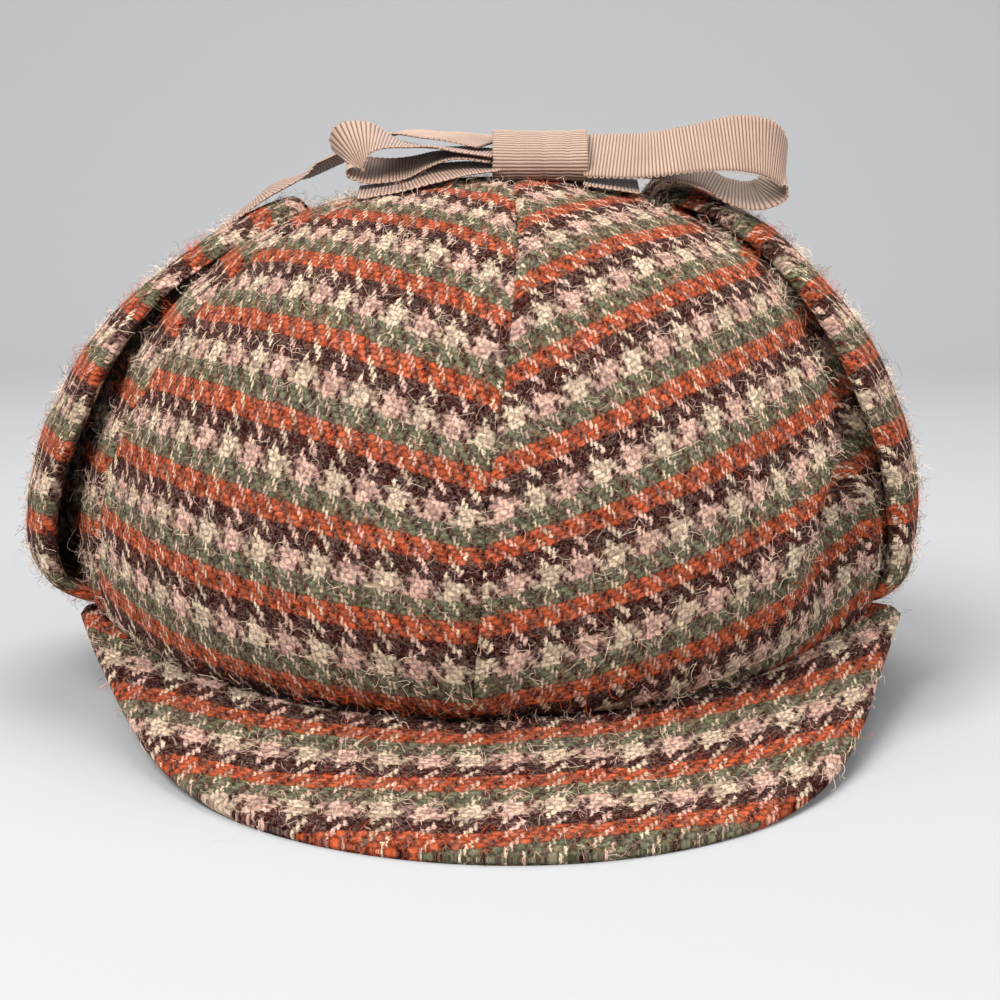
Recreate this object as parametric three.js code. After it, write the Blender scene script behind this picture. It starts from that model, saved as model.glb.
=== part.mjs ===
// Deerstalker hat with its ear flaps tied up over the crown by a ribbon bow.
// Millimetres, +Z up. The front peak points along -Y. The origin lies on the surface that the hat
// rests on, under the middle of the hat. Azimuths are degrees from the front towards +X.
import * as THREE from 'three';
import { mergeVertices } from 'three/addons/utils/BufferGeometryUtils.js';

// Brings the middle of the hat's box over the origin.
const CENTRE_SHIFT = 2.2;

// ---- Crown ----
const RIM_HALF_WIDTH = 93;
const RIM_HALF_DEPTH = 97;
const RIM_FRONT_HEIGHT = 12;
const RIM_SIDE_RISE = 10;
const CROWN_TOP = 116;
const CROWN_SQUARENESS = 2.3;
const CROWN_LEAN = 5;
const CLOTH = 3;
const PANEL_GAP = 0.3;
const PANEL_SEAMS = [0, 63, 117, 180, 243, 297, 360];
const PANEL_SWELL = 1.4;
const PUFF = { front: 5, side: 2, height: 24 };
const TIP_RADIUS = 2.4;

// A soft dent beside the right ear flap, with a low ridge in front of it.
const DENT = {
  depth: 7.5, width: 8, behindRidge: 11, ridge: 2.2, ridgeWidth: 5,
  ridgeLow: 40, ridgeTurn: 17, turnFrom: 18, turnTo: 54, middle: 38, reach: 25,
};

// ---- Peaks ----
const PEAK_THICKNESS = 4.5;
const PEAK_HALF_ANGLE = 72;
const PEAK_LIP = 4;
const PEAK_REACH = 45;
const PEAK_NARROWING = 1.2;
const PEAK_SINK = 1.2;
const PEAK_LIFT = { from: 16, to: 72, below: 1 };
const SEAM_GAP = 0.3;

// ---- Ear flaps ----
const FLAP_THICKNESS = 4.4;
const FLAP_MIDDLE = 90;
// How much further than its outline each flap is pulled up by its tie.
const LEFT_FLAP_PULL = 0.92;
const RIGHT_FLAP_PULL = 1.035;
const FLAP_OUTLINE = [
  { rise: 0.006, halfWidth: 39 },
  { rise: 0.035, halfWidth: 40 },
  { rise: 0.120, halfWidth: 39 },
  { rise: 0.300, halfWidth: 37 },
  { rise: 0.450, halfWidth: 30 },
  { rise: 0.580, halfWidth: 21 },
  { rise: 0.690, halfWidth: 15 },
  { rise: 0.755, halfWidth: 11 },
  { rise: 0.785, halfWidth: 6 },
];
// How far the flap stands off the crown, along its middle and along its side edges.
const LEFT_STAND_OFF = [
  { rise: 0.00, middle: 2.4, edge: 2.0 },
  { rise: 0.02, middle: 5.0, edge: 4.2 },
  { rise: 0.06, middle: 7.0, edge: 5.4 },
  { rise: 0.12, middle: 7.6, edge: 5.6 },
  { rise: 0.30, middle: 5.8, edge: 4.6 },
  { rise: 0.46, middle: 3.2, edge: 3.0 },
  { rise: 0.62, middle: 1.4, edge: 1.6 },
  { rise: 0.80, middle: 1.2, edge: 1.2 },
];
const RIGHT_STAND_OFF = [
  { rise: 0.00, middle: 1.4, edge: 1.2 },
  { rise: 0.08, middle: 2.6, edge: 1.2 },
  { rise: 0.30, middle: 1.4, edge: 1.1 },
  { rise: 0.82, middle: 1.1, edge: 1.1 },
];

// ---- Ribbon ----
const RIBBON_WIDTH = 15;
const RIBBON_THICKNESS = 1;
// Each station is the middle of the ribbon, and across points along its width.
const RIGHT_LOOP = [
  { x: 24.2, y: -14.6, z: 120.9, across: [0.20, 0.76, 0.62] },
  { x: 37.0, y: -16.5, z: 121.0, across: [0.26, 0.71, 0.65] },
  { x: 48.5, y: -17.5, z: 122.7, across: [0.20, 0.69, 0.70] },
  { x: 58.6, y: -17.5, z: 123.4, across: [0.10, 0.55, 0.83] },
  { x: 65.3, y: -15.5, z: 121.8, across: [0.05, 0.49, 0.87] },
  { x: 68.3, y: -12.5, z: 118.2, across: [0.10, 0.62, 0.78] },
  { x: 66.8, y: -11.0, z: 114.6, across: [0.10, 0.78, 0.60] },
  { x: 62.6, y: -11.5, z: 112.0, across: [0.00, 0.91, 0.42] },
  { x: 56.0, y: -11.5, z: 112.9, across: [0.00, 0.92, 0.39] },
  { x: 49.0, y: -11.0, z: 116.6, across: [0.00, 0.93, 0.37] },
  { x: 40.0, y: -11.5, z: 118.8, across: [0.08, 0.90, 0.42] },
  { x: 24.2, y: -13.0, z: 119.2, across: [0.06, 0.90, 0.42] },
];
const LEFT_LOOP = [
  { x: 1.2, y: -13.5, z: 121.5, across: [0.00, 0.99, 0.12] },
  { x: -5.0, y: -12.8, z: 122.3, across: [0.00, 0.99, 0.10] },
  { x: -11.0, y: -12.2, z: 122.8, across: [-0.05, 1.00, 0.02] },
  { x: -18.0, y: -12.0, z: 123.3, across: [-0.15, 0.98, 0.10] },
  { x: -26.0, y: -12.0, z: 124.5, across: [-0.33, 0.82, 0.46] },
  { x: -30.6, y: -11.5, z: 122.3, across: [-0.48, 0.60, 0.64] },
  { x: -31.2, y: -10.5, z: 119.8, across: [-0.45, 0.65, 0.60] },
  { x: -28.2, y: -10.0, z: 118.0, across: [-0.25, 0.87, 0.42] },
  { x: -22.5, y: -10.0, z: 117.6, across: [-0.10, 0.93, 0.35] },
  { x: -17.0, y: -10.0, z: 118.3, across: [0.00, 0.95, 0.31] },
  { x: -11.5, y: -10.8, z: 120.0, across: [0.05, 0.97, 0.22] },
  { x: -5.5, y: -12.0, z: 120.9, across: [0.05, 0.99, 0.12] },
  { x: 1.2, y: -13.2, z: 120.0, across: [0.00, 0.99, 0.12] },
];
const LEFT_TIE = [
  { x: -68.4, y: 1.0, z: 101.6, across: [0.10, 0.98, 0.20] },
  { x: -62.4, y: 1.6, z: 105.8, across: [0.10, 0.98, 0.20] },
  { x: -56.0, y: 2.4, z: 109.6, across: [0.08, 0.98, 0.22] },
  { x: -50.0, y: 4.0, z: 112.9, across: [0.04, 0.98, 0.22] },
  { x: -45.0, y: 6.0, z: 115.7, across: [0.00, 0.99, 0.14] },
  { x: -40.0, y: 8.0, z: 117.8, across: [0.00, 0.99, -0.12] },
  { x: -34.2, y: 8.5, z: 120.4, across: [0.00, 0.99, -0.12] },
  { x: -27.0, y: 7.8, z: 123.4, across: [0.00, 0.99, 0.00] },
  { x: -20.0, y: 5.4, z: 126.2, across: [0.00, 0.99, 0.04] },
  { x: -10.0, y: -2.8, z: 125.7, across: [0.00, 0.99, 0.12] },
  { x: 0.6, y: -10.2, z: 124.1, across: [0.00, 0.98, 0.20] },
];
const RIGHT_TIE = [
  { x: 24.2, y: -14.2, z: 115.2, across: [0.06, 0.98, 0.14] },
  { x: 30.0, y: -14.8, z: 114.5, across: [0.10, 0.98, 0.16] },
  { x: 35.0, y: -14.8, z: 113.9, across: [0.10, 0.98, 0.18] },
];
const TAIL = [
  { x: 0.8, y: -14.5, z: 118.4, across: [0.00, 0.99, 0.12] },
  { x: -5.0, y: -15.8, z: 118.0, across: [-0.05, 0.97, 0.20] },
  { x: -11.0, y: -17.0, z: 116.8, across: [-0.08, 0.96, 0.26] },
  { x: -18.0, y: -17.6, z: 114.2, across: [-0.10, 0.98, 0.15] },
  { x: -28.0, y: -17.5, z: 112.6, across: [-0.15, 0.97, 0.16] },
];
const KNOT = { x: 12.8, y: -13.6, z: 120.9, length: 21.4, long: 6.8, short: 3.6, lean: 38 };

// ---- Helpers ----
const radians = THREE.MathUtils.degToRad;
const smooth = (value, from, to) => THREE.MathUtils.smoothstep(value, from, to);
const bell = (value, width) => Math.exp(-((value / width) ** 2));
const wave = (azimuth) => Math.sin(radians(azimuth)) ** 2;

function lookUp(table, key, at, column) {
  let low = table[0];
  for (const high of table) {
    if (high[key] >= at) {
      const span = high[key] - low[key];
      const share = span > 0 ? (at - low[key]) / span : 0;
      const eased = THREE.MathUtils.clamp(share, 0, 1);
      return THREE.MathUtils.lerp(low[column], high[column], eased);
    }
    low = high;
  }
  return low[column];
}

/** A closed wall between an outer and an inner grid of points, with a face round its border. */
function wall(outer, inner) {
  const rows = outer.length;
  const columns = outer[0].length;
  const points = [...outer.flat(), ...inner.flat()];
  const faces = [];
  const at = (side, row, column) => side * rows * columns + row * columns + column;
  const quad = (a, b, c, d) => faces.push(a, b, c, a, c, d);
  for (let row = 0; row + 1 < rows; row += 1) {
    for (let column = 0; column + 1 < columns; column += 1) {
      quad(at(0, row, column), at(0, row, column + 1), at(0, row + 1, column + 1), at(0, row + 1, column));
      quad(at(1, row, column), at(1, row + 1, column), at(1, row + 1, column + 1), at(1, row, column + 1));
    }
    const last = columns - 1;
    quad(at(0, row, 0), at(0, row + 1, 0), at(1, row + 1, 0), at(1, row, 0));
    quad(at(0, row, last), at(1, row, last), at(1, row + 1, last), at(0, row + 1, last));
  }
  for (let column = 0; column + 1 < columns; column += 1) {
    const last = rows - 1;
    quad(at(0, 0, column + 1), at(0, 0, column), at(1, 0, column), at(1, 0, column + 1));
    quad(at(0, last, column), at(0, last, column + 1), at(1, last, column + 1), at(1, last, column));
  }
  return closedGeometry(points, faces);
}

/** A closed body through a row of rings, with a fan over each end. */
function loft(rings) {
  const count = rings[0].length;
  const points = rings.flat();
  const faces = [];
  rings.slice(1).forEach((ring, row) => {
    ring.forEach((point, k) => {
      const a = row * count + k;
      const b = row * count + ((k + 1) % count);
      faces.push(a, b, b + count, a, b + count, a + count);
    });
  });
  [rings[0], rings.at(-1)].forEach((ring, end) => {
    const middle = ring.reduce((sum, point) => sum.add(point), new THREE.Vector3()).divideScalar(count);
    const start = end * (rings.length - 1) * count;
    points.push(middle);
    ring.forEach((point, k) => {
      const pair = [start + k, start + ((k + 1) % count)];
      faces.push(points.length - 1, pair[1 - end], pair[end]);
    });
  });
  return closedGeometry(points, faces);
}

/** The geometry of a closed mesh, turned so that its faces point outwards. */
function closedGeometry(points, faces) {
  let volume = 0;
  for (let k = 0; k < faces.length; k += 3) {
    const [a, b, c] = [points[faces[k]], points[faces[k + 1]], points[faces[k + 2]]];
    volume += a.dot(new THREE.Vector3().crossVectors(b, c));
  }
  if (volume < 0) {
    faces.reverse();
  }
  const geometry = new THREE.BufferGeometry();
  geometry.setFromPoints(points);
  geometry.setIndex(faces);
  return mergeVertices(geometry);
}

// ---- Crown ----
function rimHeight(azimuth) {
  return RIM_FRONT_HEIGHT + RIM_SIDE_RISE * wave(azimuth);
}

function dentAt(azimuth, height) {
  const turn = smooth(height, DENT.turnFrom, DENT.turnTo);
  const ridge = DENT.ridgeLow + DENT.ridgeTurn * turn;
  const window = bell(height - DENT.middle, DENT.reach);
  const low = DENT.depth * bell(azimuth - ridge - DENT.behindRidge, DENT.width);
  const high = DENT.ridge * bell(azimuth - ridge, DENT.ridgeWidth);
  return window * (low - high);
}

/** How far across its panel an azimuth lies, from 0 to 1. */
function panelShare(azimuth) {
  const turn = THREE.MathUtils.euclideanModulo(azimuth, 360);
  const order = PANEL_SEAMS.findLastIndex((seam) => seam <= turn);
  return (turn - PANEL_SEAMS[order]) / (PANEL_SEAMS[order + 1] - PANEL_SEAMS[order]);
}

/** A point on the outside of the crown. Rise is 0 at the rim and 1 at the top. */
function crownPoint(azimuth, rise, dented = 1) {
  const turn = radians(90 * rise);
  const spread = Math.cos(turn) ** (2 / CROWN_SQUARENESS);
  const lift = Math.sin(turn) ** (2 / CROWN_SQUARENESS);
  const rim = rimHeight(azimuth);
  const height = (CROWN_TOP - rim) * lift;
  const size = THREE.MathUtils.lerp(PUFF.front, PUFF.side, wave(azimuth));
  const puff = size * (height / PUFF.height) * Math.exp(1 - height / PUFF.height);
  const swell = PANEL_SWELL * Math.sin(Math.PI * panelShare(azimuth));
  const grow = spread * (puff + swell * smooth(height, 0, 30)) - dented * dentAt(azimuth, height);
  return new THREE.Vector3(
    (RIM_HALF_WIDTH * spread + grow) * Math.sin(radians(azimuth)) + CROWN_LEAN * lift * lift,
    -(RIM_HALF_DEPTH * spread + grow) * Math.cos(radians(azimuth)),
    rim + height,
  );
}

function crownNormal(azimuth, rise, dented = 1) {
  const step = 0.004;
  const side = 0.4;
  const safe = THREE.MathUtils.clamp(rise, step, 1 - 2 * step);
  const up = crownPoint(azimuth, safe + step, dented).sub(crownPoint(azimuth, safe - step, dented));
  const right = crownPoint(azimuth + side, safe, dented);
  const along = right.sub(crownPoint(azimuth - side, safe, dented));
  return new THREE.Vector3().crossVectors(along, up).normalize();
}

function offCrown(azimuth, rise, distance, dented = 1) {
  const normal = crownNormal(azimuth, rise, dented);
  return crownPoint(azimuth, rise, dented).addScaledVector(normal, distance);
}

function crownPanel(firstAzimuth, lastAzimuth) {
  const rows = 13;
  const columns = 8;
  const highest = 1 - (2 / Math.PI) * Math.asin((TIP_RADIUS / RIM_HALF_WIDTH) ** (CROWN_SQUARENESS / 2));
  const outer = [];
  const inner = [];
  for (let row = 0; row <= rows; row += 1) {
    const rise = highest * (row / rows);
    const spread = Math.cos(radians(90 * rise)) ** (2 / CROWN_SQUARENESS);
    const inset = THREE.MathUtils.radToDeg(PANEL_GAP / 2 / (RIM_HALF_WIDTH * spread));
    const azimuths = [];
    for (let column = 0; column <= columns; column += 1) {
      azimuths.push(THREE.MathUtils.lerp(firstAzimuth + inset, lastAzimuth - inset, column / columns));
    }
    outer.push(azimuths.map((azimuth) => offCrown(azimuth, rise, 0)));
    inner.push(azimuths.map((azimuth) => offCrown(azimuth, rise, -CLOTH)));
  }
  return wall(outer, inner);
}

// ---- Peaks ----
/** A point of the front peak. Out is 0 at its sewn edge and 1 at its free edge. */
function peakPoint(azimuth, out, level, skew) {
  const reach = PEAK_LIP + PEAK_REACH * Math.cos(radians(PEAK_NARROWING * azimuth)) ** 3;
  const distance = THREE.MathUtils.lerp(-CLOTH, reach, out);
  const rim = rimHeight(azimuth) - SEAM_GAP;
  const raised = smooth(Math.abs(azimuth), PEAK_LIFT.from, PEAK_LIFT.to);
  const edge = THREE.MathUtils.lerp(PEAK_THICKNESS - PEAK_SINK, rim - PEAK_LIFT.below, raised);
  const top = THREE.MathUtils.lerp(rim, edge, out);
  const shift = skew * out * Math.sqrt(reach / (PEAK_LIP + PEAK_REACH));
  return new THREE.Vector3(
    (RIM_HALF_WIDTH + distance) * Math.sin(radians(azimuth)) + shift,
    -(RIM_HALF_DEPTH + distance) * Math.cos(radians(azimuth)),
    Math.max(0, top - PEAK_THICKNESS * (1 - level)),
  );
}

function peak(skew) {
  const columns = 32;
  const section = [
    { out: 0, low: 0, high: 1 },
    { out: 0.25, low: 0, high: 1 },
    { out: 0.5, low: 0, high: 1 },
    { out: 0.75, low: 0, high: 1 },
    { out: 0.865, low: 0, high: 1 },
    { out: 0.93, low: 0, high: 1 },
    { out: 0.985, low: 0.04, high: 0.88 },
    { out: 1, low: 0.3, high: 0.68 },
  ];
  const outer = [];
  const inner = [];
  for (let column = 0; column <= columns; column += 1) {
    const azimuth = PEAK_HALF_ANGLE * (2 * (column / columns) - 1);
    outer.push(section.map(({ out, high }) => peakPoint(azimuth, out, high, skew)));
    inner.push(section.map(({ out, low }) => peakPoint(azimuth, out, low, skew)));
  }
  return wall(outer, inner);
}

// ---- Ear flaps ----
function flap(middle, standOff, pull) {
  const rows = 16;
  const across = [-1, -0.94, -0.7, -0.35, 0, 0.35, 0.7, 0.94, 1];
  const first = FLAP_OUTLINE[0].rise;
  const last = FLAP_OUTLINE.at(-1).rise * pull;
  const outer = [];
  const inner = [];
  for (let row = 0; row <= rows; row += 1) {
    const share = 0.5 - 0.5 * Math.cos(Math.PI * (row / rows) ** 0.9);
    const rise = THREE.MathUtils.lerp(first, last, share);
    const halfWidth = lookUp(FLAP_OUTLINE, 'rise', rise / pull, 'halfWidth');
    const middleGap = lookUp(standOff, 'rise', rise, 'middle');
    const edgeGap = lookUp(standOff, 'rise', rise, 'edge');
    const spread = Math.cos(radians(90 * rise)) ** (2 / CROWN_SQUARENESS);
    const halfAngle = THREE.MathUtils.radToDeg(halfWidth / (RIM_HALF_DEPTH * spread + middleGap));
    const ends = row === 0 || row === rows ? 0.6 : 1;
    const outerRow = [];
    const innerRow = [];
    for (const place of across) {
      const soft = Math.abs(place) === 1 ? 0.5 : 1;
      const half = 0.5 * FLAP_THICKNESS * Math.min(ends, soft);
      const azimuth = middle + place * halfAngle;
      const core = THREE.MathUtils.lerp(middleGap, edgeGap, place * place) + FLAP_THICKNESS / 2;
      outerRow.push(offCrown(azimuth, rise, core + half, 0));
      innerRow.push(offCrown(azimuth, rise, core - half, 0));
    }
    outer.push(outerRow);
    inner.push(innerRow);
  }
  return wall(outer, inner);
}

// ---- Ribbon ----
function ribbon(stations, steps) {
  const path = new THREE.CatmullRomCurve3(stations.map(({ x, y, z }) => new THREE.Vector3(x, y, z)));
  const turns = new THREE.CatmullRomCurve3(stations.map(({ across }) => new THREE.Vector3(...across)));
  const outer = [];
  const inner = [];
  for (let step = 0; step <= steps; step += 1) {
    const share = step / steps;
    const middle = path.getPoint(share);
    const along = path.getTangent(share);
    const across = turns.getPoint(share);
    across.addScaledVector(along, -across.dot(along)).normalize();
    const face = new THREE.Vector3().crossVectors(along, across);
    const place = (side, height) => middle.clone()
      .addScaledVector(across, (side * RIBBON_WIDTH) / 2)
      .addScaledVector(face, (height * RIBBON_THICKNESS) / 2);
    outer.push([place(-1, 1), place(0, 1), place(1, 1)]);
    inner.push([place(-1, -1), place(0, -1), place(1, -1)]);
  }
  return wall(outer, inner);
}

function knot() {
  const sides = 16;
  const stations = [
    { along: -0.5, size: 0.90 }, { along: -0.46, size: 0.98 }, { along: -0.15, size: 1 },
    { along: 0.15, size: 1 }, { along: 0.46, size: 0.98 }, { along: 0.5, size: 0.90 },
  ];
  const lean = radians(KNOT.lean);
  const rings = stations.map(({ along, size }) => {
    const ring = [];
    for (let side = 0; side < sides; side += 1) {
      const turn = (2 * Math.PI * side) / sides;
      const long = size * KNOT.long * Math.sign(Math.cos(turn)) * Math.abs(Math.cos(turn)) ** 0.8;
      const short = size * KNOT.short * Math.sign(Math.sin(turn)) * Math.abs(Math.sin(turn)) ** 0.8;
      ring.push(new THREE.Vector3(
        KNOT.x + along * KNOT.length,
        KNOT.y + long * Math.cos(lean) - short * Math.sin(lean),
        KNOT.z + long * Math.sin(lean) + short * Math.cos(lean),
      ));
    }
    return ring;
  });
  return loft(rings);
}

// ---- Materials and assembly ----
const tweed = () => new THREE.MeshStandardMaterial({ color: 0x8a6450, roughness: 0.95, metalness: 0 });
const grosgrain = () => new THREE.MeshStandardMaterial({ color: 0xb99484, roughness: 0.7, metalness: 0 });

const hat = new THREE.Group();

function add(name, geometry, material) {
  const mesh = new THREE.Mesh(geometry, material);
  mesh.name = name;
  mesh.position.x = CENTRE_SHIFT;
  hat.add(mesh);
  return mesh;
}

const PANELS = ['front_right', 'side_right', 'back_right', 'back_left', 'side_left', 'front_left'];
PANELS.forEach((place, order) => {
  add(`crown_panel_${place}`, crownPanel(PANEL_SEAMS[order], PANEL_SEAMS[order + 1]), tweed());
});

const FRONT_PEAK_SKEW = 6;
add('front_peak', peak(FRONT_PEAK_SKEW), tweed());
add('rear_peak', peak(0), tweed()).rotation.z = Math.PI;

add('right_flap', flap(FLAP_MIDDLE, RIGHT_STAND_OFF, RIGHT_FLAP_PULL), tweed());
add('left_flap', flap(-FLAP_MIDDLE, LEFT_STAND_OFF, LEFT_FLAP_PULL), tweed());

add('bow_right_loop', ribbon(RIGHT_LOOP, 36), grosgrain());
add('bow_left_loop', ribbon(LEFT_LOOP, 32), grosgrain());
add('left_tie', ribbon(LEFT_TIE, 16), grosgrain());
add('right_tie', ribbon(RIGHT_TIE, 4), grosgrain());
add('bow_tail', ribbon(TAIL, 8), grosgrain());
add('bow_knot', knot(), grosgrain());

export default hat;
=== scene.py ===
import math

import bpy
import numpy as np
from bpy.props import FloatProperty, FloatVectorProperty, IntProperty, PointerProperty
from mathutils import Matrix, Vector


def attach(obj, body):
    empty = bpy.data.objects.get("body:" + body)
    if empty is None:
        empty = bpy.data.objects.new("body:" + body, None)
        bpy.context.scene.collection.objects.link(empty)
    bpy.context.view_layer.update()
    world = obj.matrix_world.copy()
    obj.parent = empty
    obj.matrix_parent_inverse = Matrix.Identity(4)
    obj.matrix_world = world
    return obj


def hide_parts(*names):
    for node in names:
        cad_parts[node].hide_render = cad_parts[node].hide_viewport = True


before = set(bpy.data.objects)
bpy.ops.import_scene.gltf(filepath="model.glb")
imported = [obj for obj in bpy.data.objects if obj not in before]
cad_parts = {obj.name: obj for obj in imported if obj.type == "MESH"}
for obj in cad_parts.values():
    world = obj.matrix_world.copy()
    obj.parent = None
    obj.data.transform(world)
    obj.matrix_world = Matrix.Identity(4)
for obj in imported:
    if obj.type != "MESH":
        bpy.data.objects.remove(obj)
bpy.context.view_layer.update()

bl_info = {
    "name": "Deerstalker hat",
    "version": (1, 0, 0),
    "blender": (4, 5, 0),
    "location": "3D View > Sidebar > Hat",
    "description": "Makes the cloth, fibres and ribbon of a tweed deerstalker hat",
    "category": "Object",
}

MM = 0.001
# Moves the hat's own axis to where its box is centred on the origin.
CENTRE_SHIFT = 2.2


def srgb(red, green, blue):
    """A linear colour from its everyday 0 to 255 values."""
    shares = [value / 255 for value in (red, green, blue)]
    return tuple(s / 12.92 if s <= 0.04045 else ((s + 0.055) / 1.055) ** 2.4 for s in shares)


# ---- Shape of the hat, in millimetres ----

RIM_HALF_WIDTH = 93
RIM_HALF_DEPTH = 97
RIM_FRONT_HEIGHT = 12
RIM_SIDE_RISE = 10
CROWN_TOP = 116
CROWN_SQUARENESS = 2.3
CROWN_LEAN = 5
CLOTH = 2.6
PANEL_SEAMS = (0, 63, 117, 180, 243, 297, 360)
PANEL_SWELL = 1.4
PUFF_FRONT = 5
PUFF_SIDE = 2
PUFF_HEIGHT = 24
DENT = {
    "depth": 11.5, "width": 8.5, "behind_ridge": 12, "ridge": 3.4, "ridge_width": 5,
    "ridge_low": 40, "ridge_turn": 17, "turn_from": 18, "turn_to": 54, "middle": 38, "reach": 25,
}
PEAK_THICKNESS = 4.5
PEAK_HALF_ANGLE = 72
PEAK_LIP = 4
PEAK_REACH = 45
PEAK_NARROWING = 1.2
PEAK_SINK = 1.2
PEAK_LIFT_FROM = 16
PEAK_LIFT_BELOW = 1
PEAK_TIP_LIFT = 1.6
PEAK_INNER = 3
FRONT_PEAK_SKEW = 6
FLAP_THICKNESS = 4.4
# Columns: rise, half width.
FLAP_OUTLINE = (
    (0.006, 39), (0.035, 40), (0.120, 39), (0.300, 37), (0.450, 30),
    (0.580, 21), (0.690, 15), (0.755, 11), (0.785, 6),
)
# Columns: rise, stand-off along the middle, stand-off along the side edges.
LEFT_STAND_OFF = (
    (0.000, -6.5, -7.0), (0.010, -3.0, -4.4), (0.024, 3.4, 2.2), (0.045, 6.2, 4.8), (0.080, 7.2, 5.6),
    (0.120, 7.6, 5.6), (0.300, 5.8, 4.6), (0.460, 3.2, 2.6), (0.620, 1.4, 0.5), (0.800, 0.8, 0.1),
)
RIGHT_STAND_OFF = (
    (0.000, -6.0, -6.5), (0.010, -3.0, -4.0), (0.030, 1.8, 0.6), (0.080, 2.6, 1.2),
    (0.300, 1.4, 1.1), (0.600, 1.0, 0.6), (0.820, 0.4, -0.5),
)
# Columns: name, degrees round the crown, stand-off, how far it is pulled up, the rises that its edges
# thin out between, how much narrower its upper part is, the panel that it rests on.
FLAPS = (
    ("right_flap", 90, RIGHT_STAND_OFF, 1.035, (0.62, 0.80), 0.0, "panel_cloth_side_right"),
    ("left_flap", -90, LEFT_STAND_OFF, 0.92, (0.34, 0.56), 0.28, "panel_cloth_side_left"),
)
FLAP_NARROWS_BETWEEN = (0.22, 0.50)
FLAP_BLUR = 0.012
# Where the weave starts across and up a flap.
FLAP_ACROSS = 4.0
FLAP_START = 12.8
# The height of the cloth's finer rumples.
FINE_RUMPLE = 0.16

RIBBON_WIDTH = 15
RIBBON_THICKNESS = 0.6
POINTS_PER_RIB = 4
# Columns: x, y and z of the middle of the ribbon, then the direction across it.
RIGHT_LOOP = (
    (23.2, -14.6, 120.9, 0.20, 0.76, 0.62), (37.0, -16.5, 121.0, 0.26, 0.71, 0.65),
    (48.5, -17.5, 122.7, 0.20, 0.69, 0.70), (58.6, -17.5, 123.4, 0.10, 0.55, 0.83),
    (65.3, -15.5, 121.8, 0.05, 0.49, 0.87), (68.3, -12.5, 118.2, 0.10, 0.62, 0.78),
    (66.8, -11.0, 114.6, 0.10, 0.78, 0.60), (62.6, -11.5, 112.0, 0.00, 0.91, 0.42),
    (56.0, -11.5, 112.9, 0.00, 0.92, 0.39), (49.0, -11.0, 116.6, 0.00, 0.93, 0.37),
    (40.0, -11.5, 118.8, 0.08, 0.90, 0.42), (23.2, -13.0, 119.2, 0.06, 0.90, 0.42),
)
LEFT_LOOP = (
    (2.6, -13.5, 121.4, 0.00, 0.99, 0.12), (-5.0, -12.8, 122.3, 0.00, 0.99, 0.10),
    (-11.0, -12.2, 122.8, -0.05, 1.00, 0.02), (-18.0, -12.0, 123.3, -0.15, 0.98, 0.10),
    (-26.0, -12.0, 124.5, -0.33, 0.82, 0.46), (-30.6, -11.5, 122.3, -0.48, 0.60, 0.64),
    (-31.2, -10.5, 119.8, -0.45, 0.65, 0.60), (-28.2, -10.0, 118.0, -0.25, 0.87, 0.42),
    (-22.5, -10.0, 117.6, -0.10, 0.93, 0.35), (-17.0, -10.0, 118.3, 0.00, 0.95, 0.31),
    (-11.5, -10.8, 120.0, 0.05, 0.97, 0.22), (-5.5, -12.0, 120.9, 0.05, 0.99, 0.12),
    (2.6, -13.2, 120.0, 0.00, 0.99, 0.12),
)
LEFT_TIE = (
    (-62.4, 3.6, 104.0, 0.10, 0.98, 0.20), (-56.0, 3.4, 108.4, 0.08, 0.98, 0.22),
    (-50.0, 4.0, 112.9, 0.04, 0.98, 0.22),
    (-45.0, 6.0, 115.7, 0.00, 0.99, 0.14), (-40.0, 8.0, 117.8, 0.00, 0.99, -0.12),
    (-34.2, 8.5, 120.4, 0.00, 0.99, -0.12), (-27.0, 7.8, 123.4, 0.00, 0.99, 0.00),
    (-20.0, 5.4, 126.2, 0.00, 0.99, 0.04), (-10.0, -2.8, 125.7, 0.00, 0.99, 0.12),
    (2.6, -10.6, 123.9, 0.00, 0.98, 0.20),
)
RIGHT_TIE = (
    (23.0, -14.2, 115.3, 0.06, 0.98, 0.14), (30.0, -14.8, 114.5, 0.10, 0.98, 0.16),
    (35.0, -14.8, 113.9, 0.10, 0.98, 0.18),
)
TAIL = (
    (2.6, -14.5, 118.4, 0.00, 0.99, 0.12), (-5.0, -15.8, 118.0, -0.05, 0.97, 0.20),
    (-11.0, -17.0, 116.8, -0.08, 0.96, 0.26), (-18.0, -17.6, 114.2, -0.10, 0.98, 0.15),
    (-28.0, -17.5, 112.6, -0.15, 0.97, 0.16),
)
KNOT_MIDDLE = (12.8, -13.6, 120.9)
KNOT_LENGTH = 21.4
KNOT_LONG = 7.0
KNOT_SHORT = 3.8
KNOT_LEAN = 38
KNOT_ROUNDNESS = 0.8
# Columns: place along the knot, depth and width of a crease across it.
KNOT_CREASES = ((0.9, 0.28, 0.55), (6.3, 0.24, 0.5), (-5.2, 0.12, 0.6))
PICOT_GAP = 1.42

# ---- Weave of the tweed, in millimetres ----

END_SPACING = 0.85
PICK_SPACING = 1.125
BAND_REPEAT = 16 * PICK_SPACING
# The yarns change colour in blocks, and one float and one gap take as many yarns.
BLOCK = 4.0
WEAVE_MAP = "weave"
RIB_MAP = "ribs"

# ---- Stage, in metres ----

FLOOR_FRONT = 1.6
FLOOR_BACK = 0.75
FLOOR_HALF_WIDTH = 3.0
BACKDROP_CURVE = 0.5
BACKDROP_STEPS = 12
BACKDROP_TOP = 3.0
LIT_POINT = (0, 0, 0.06)
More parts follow.
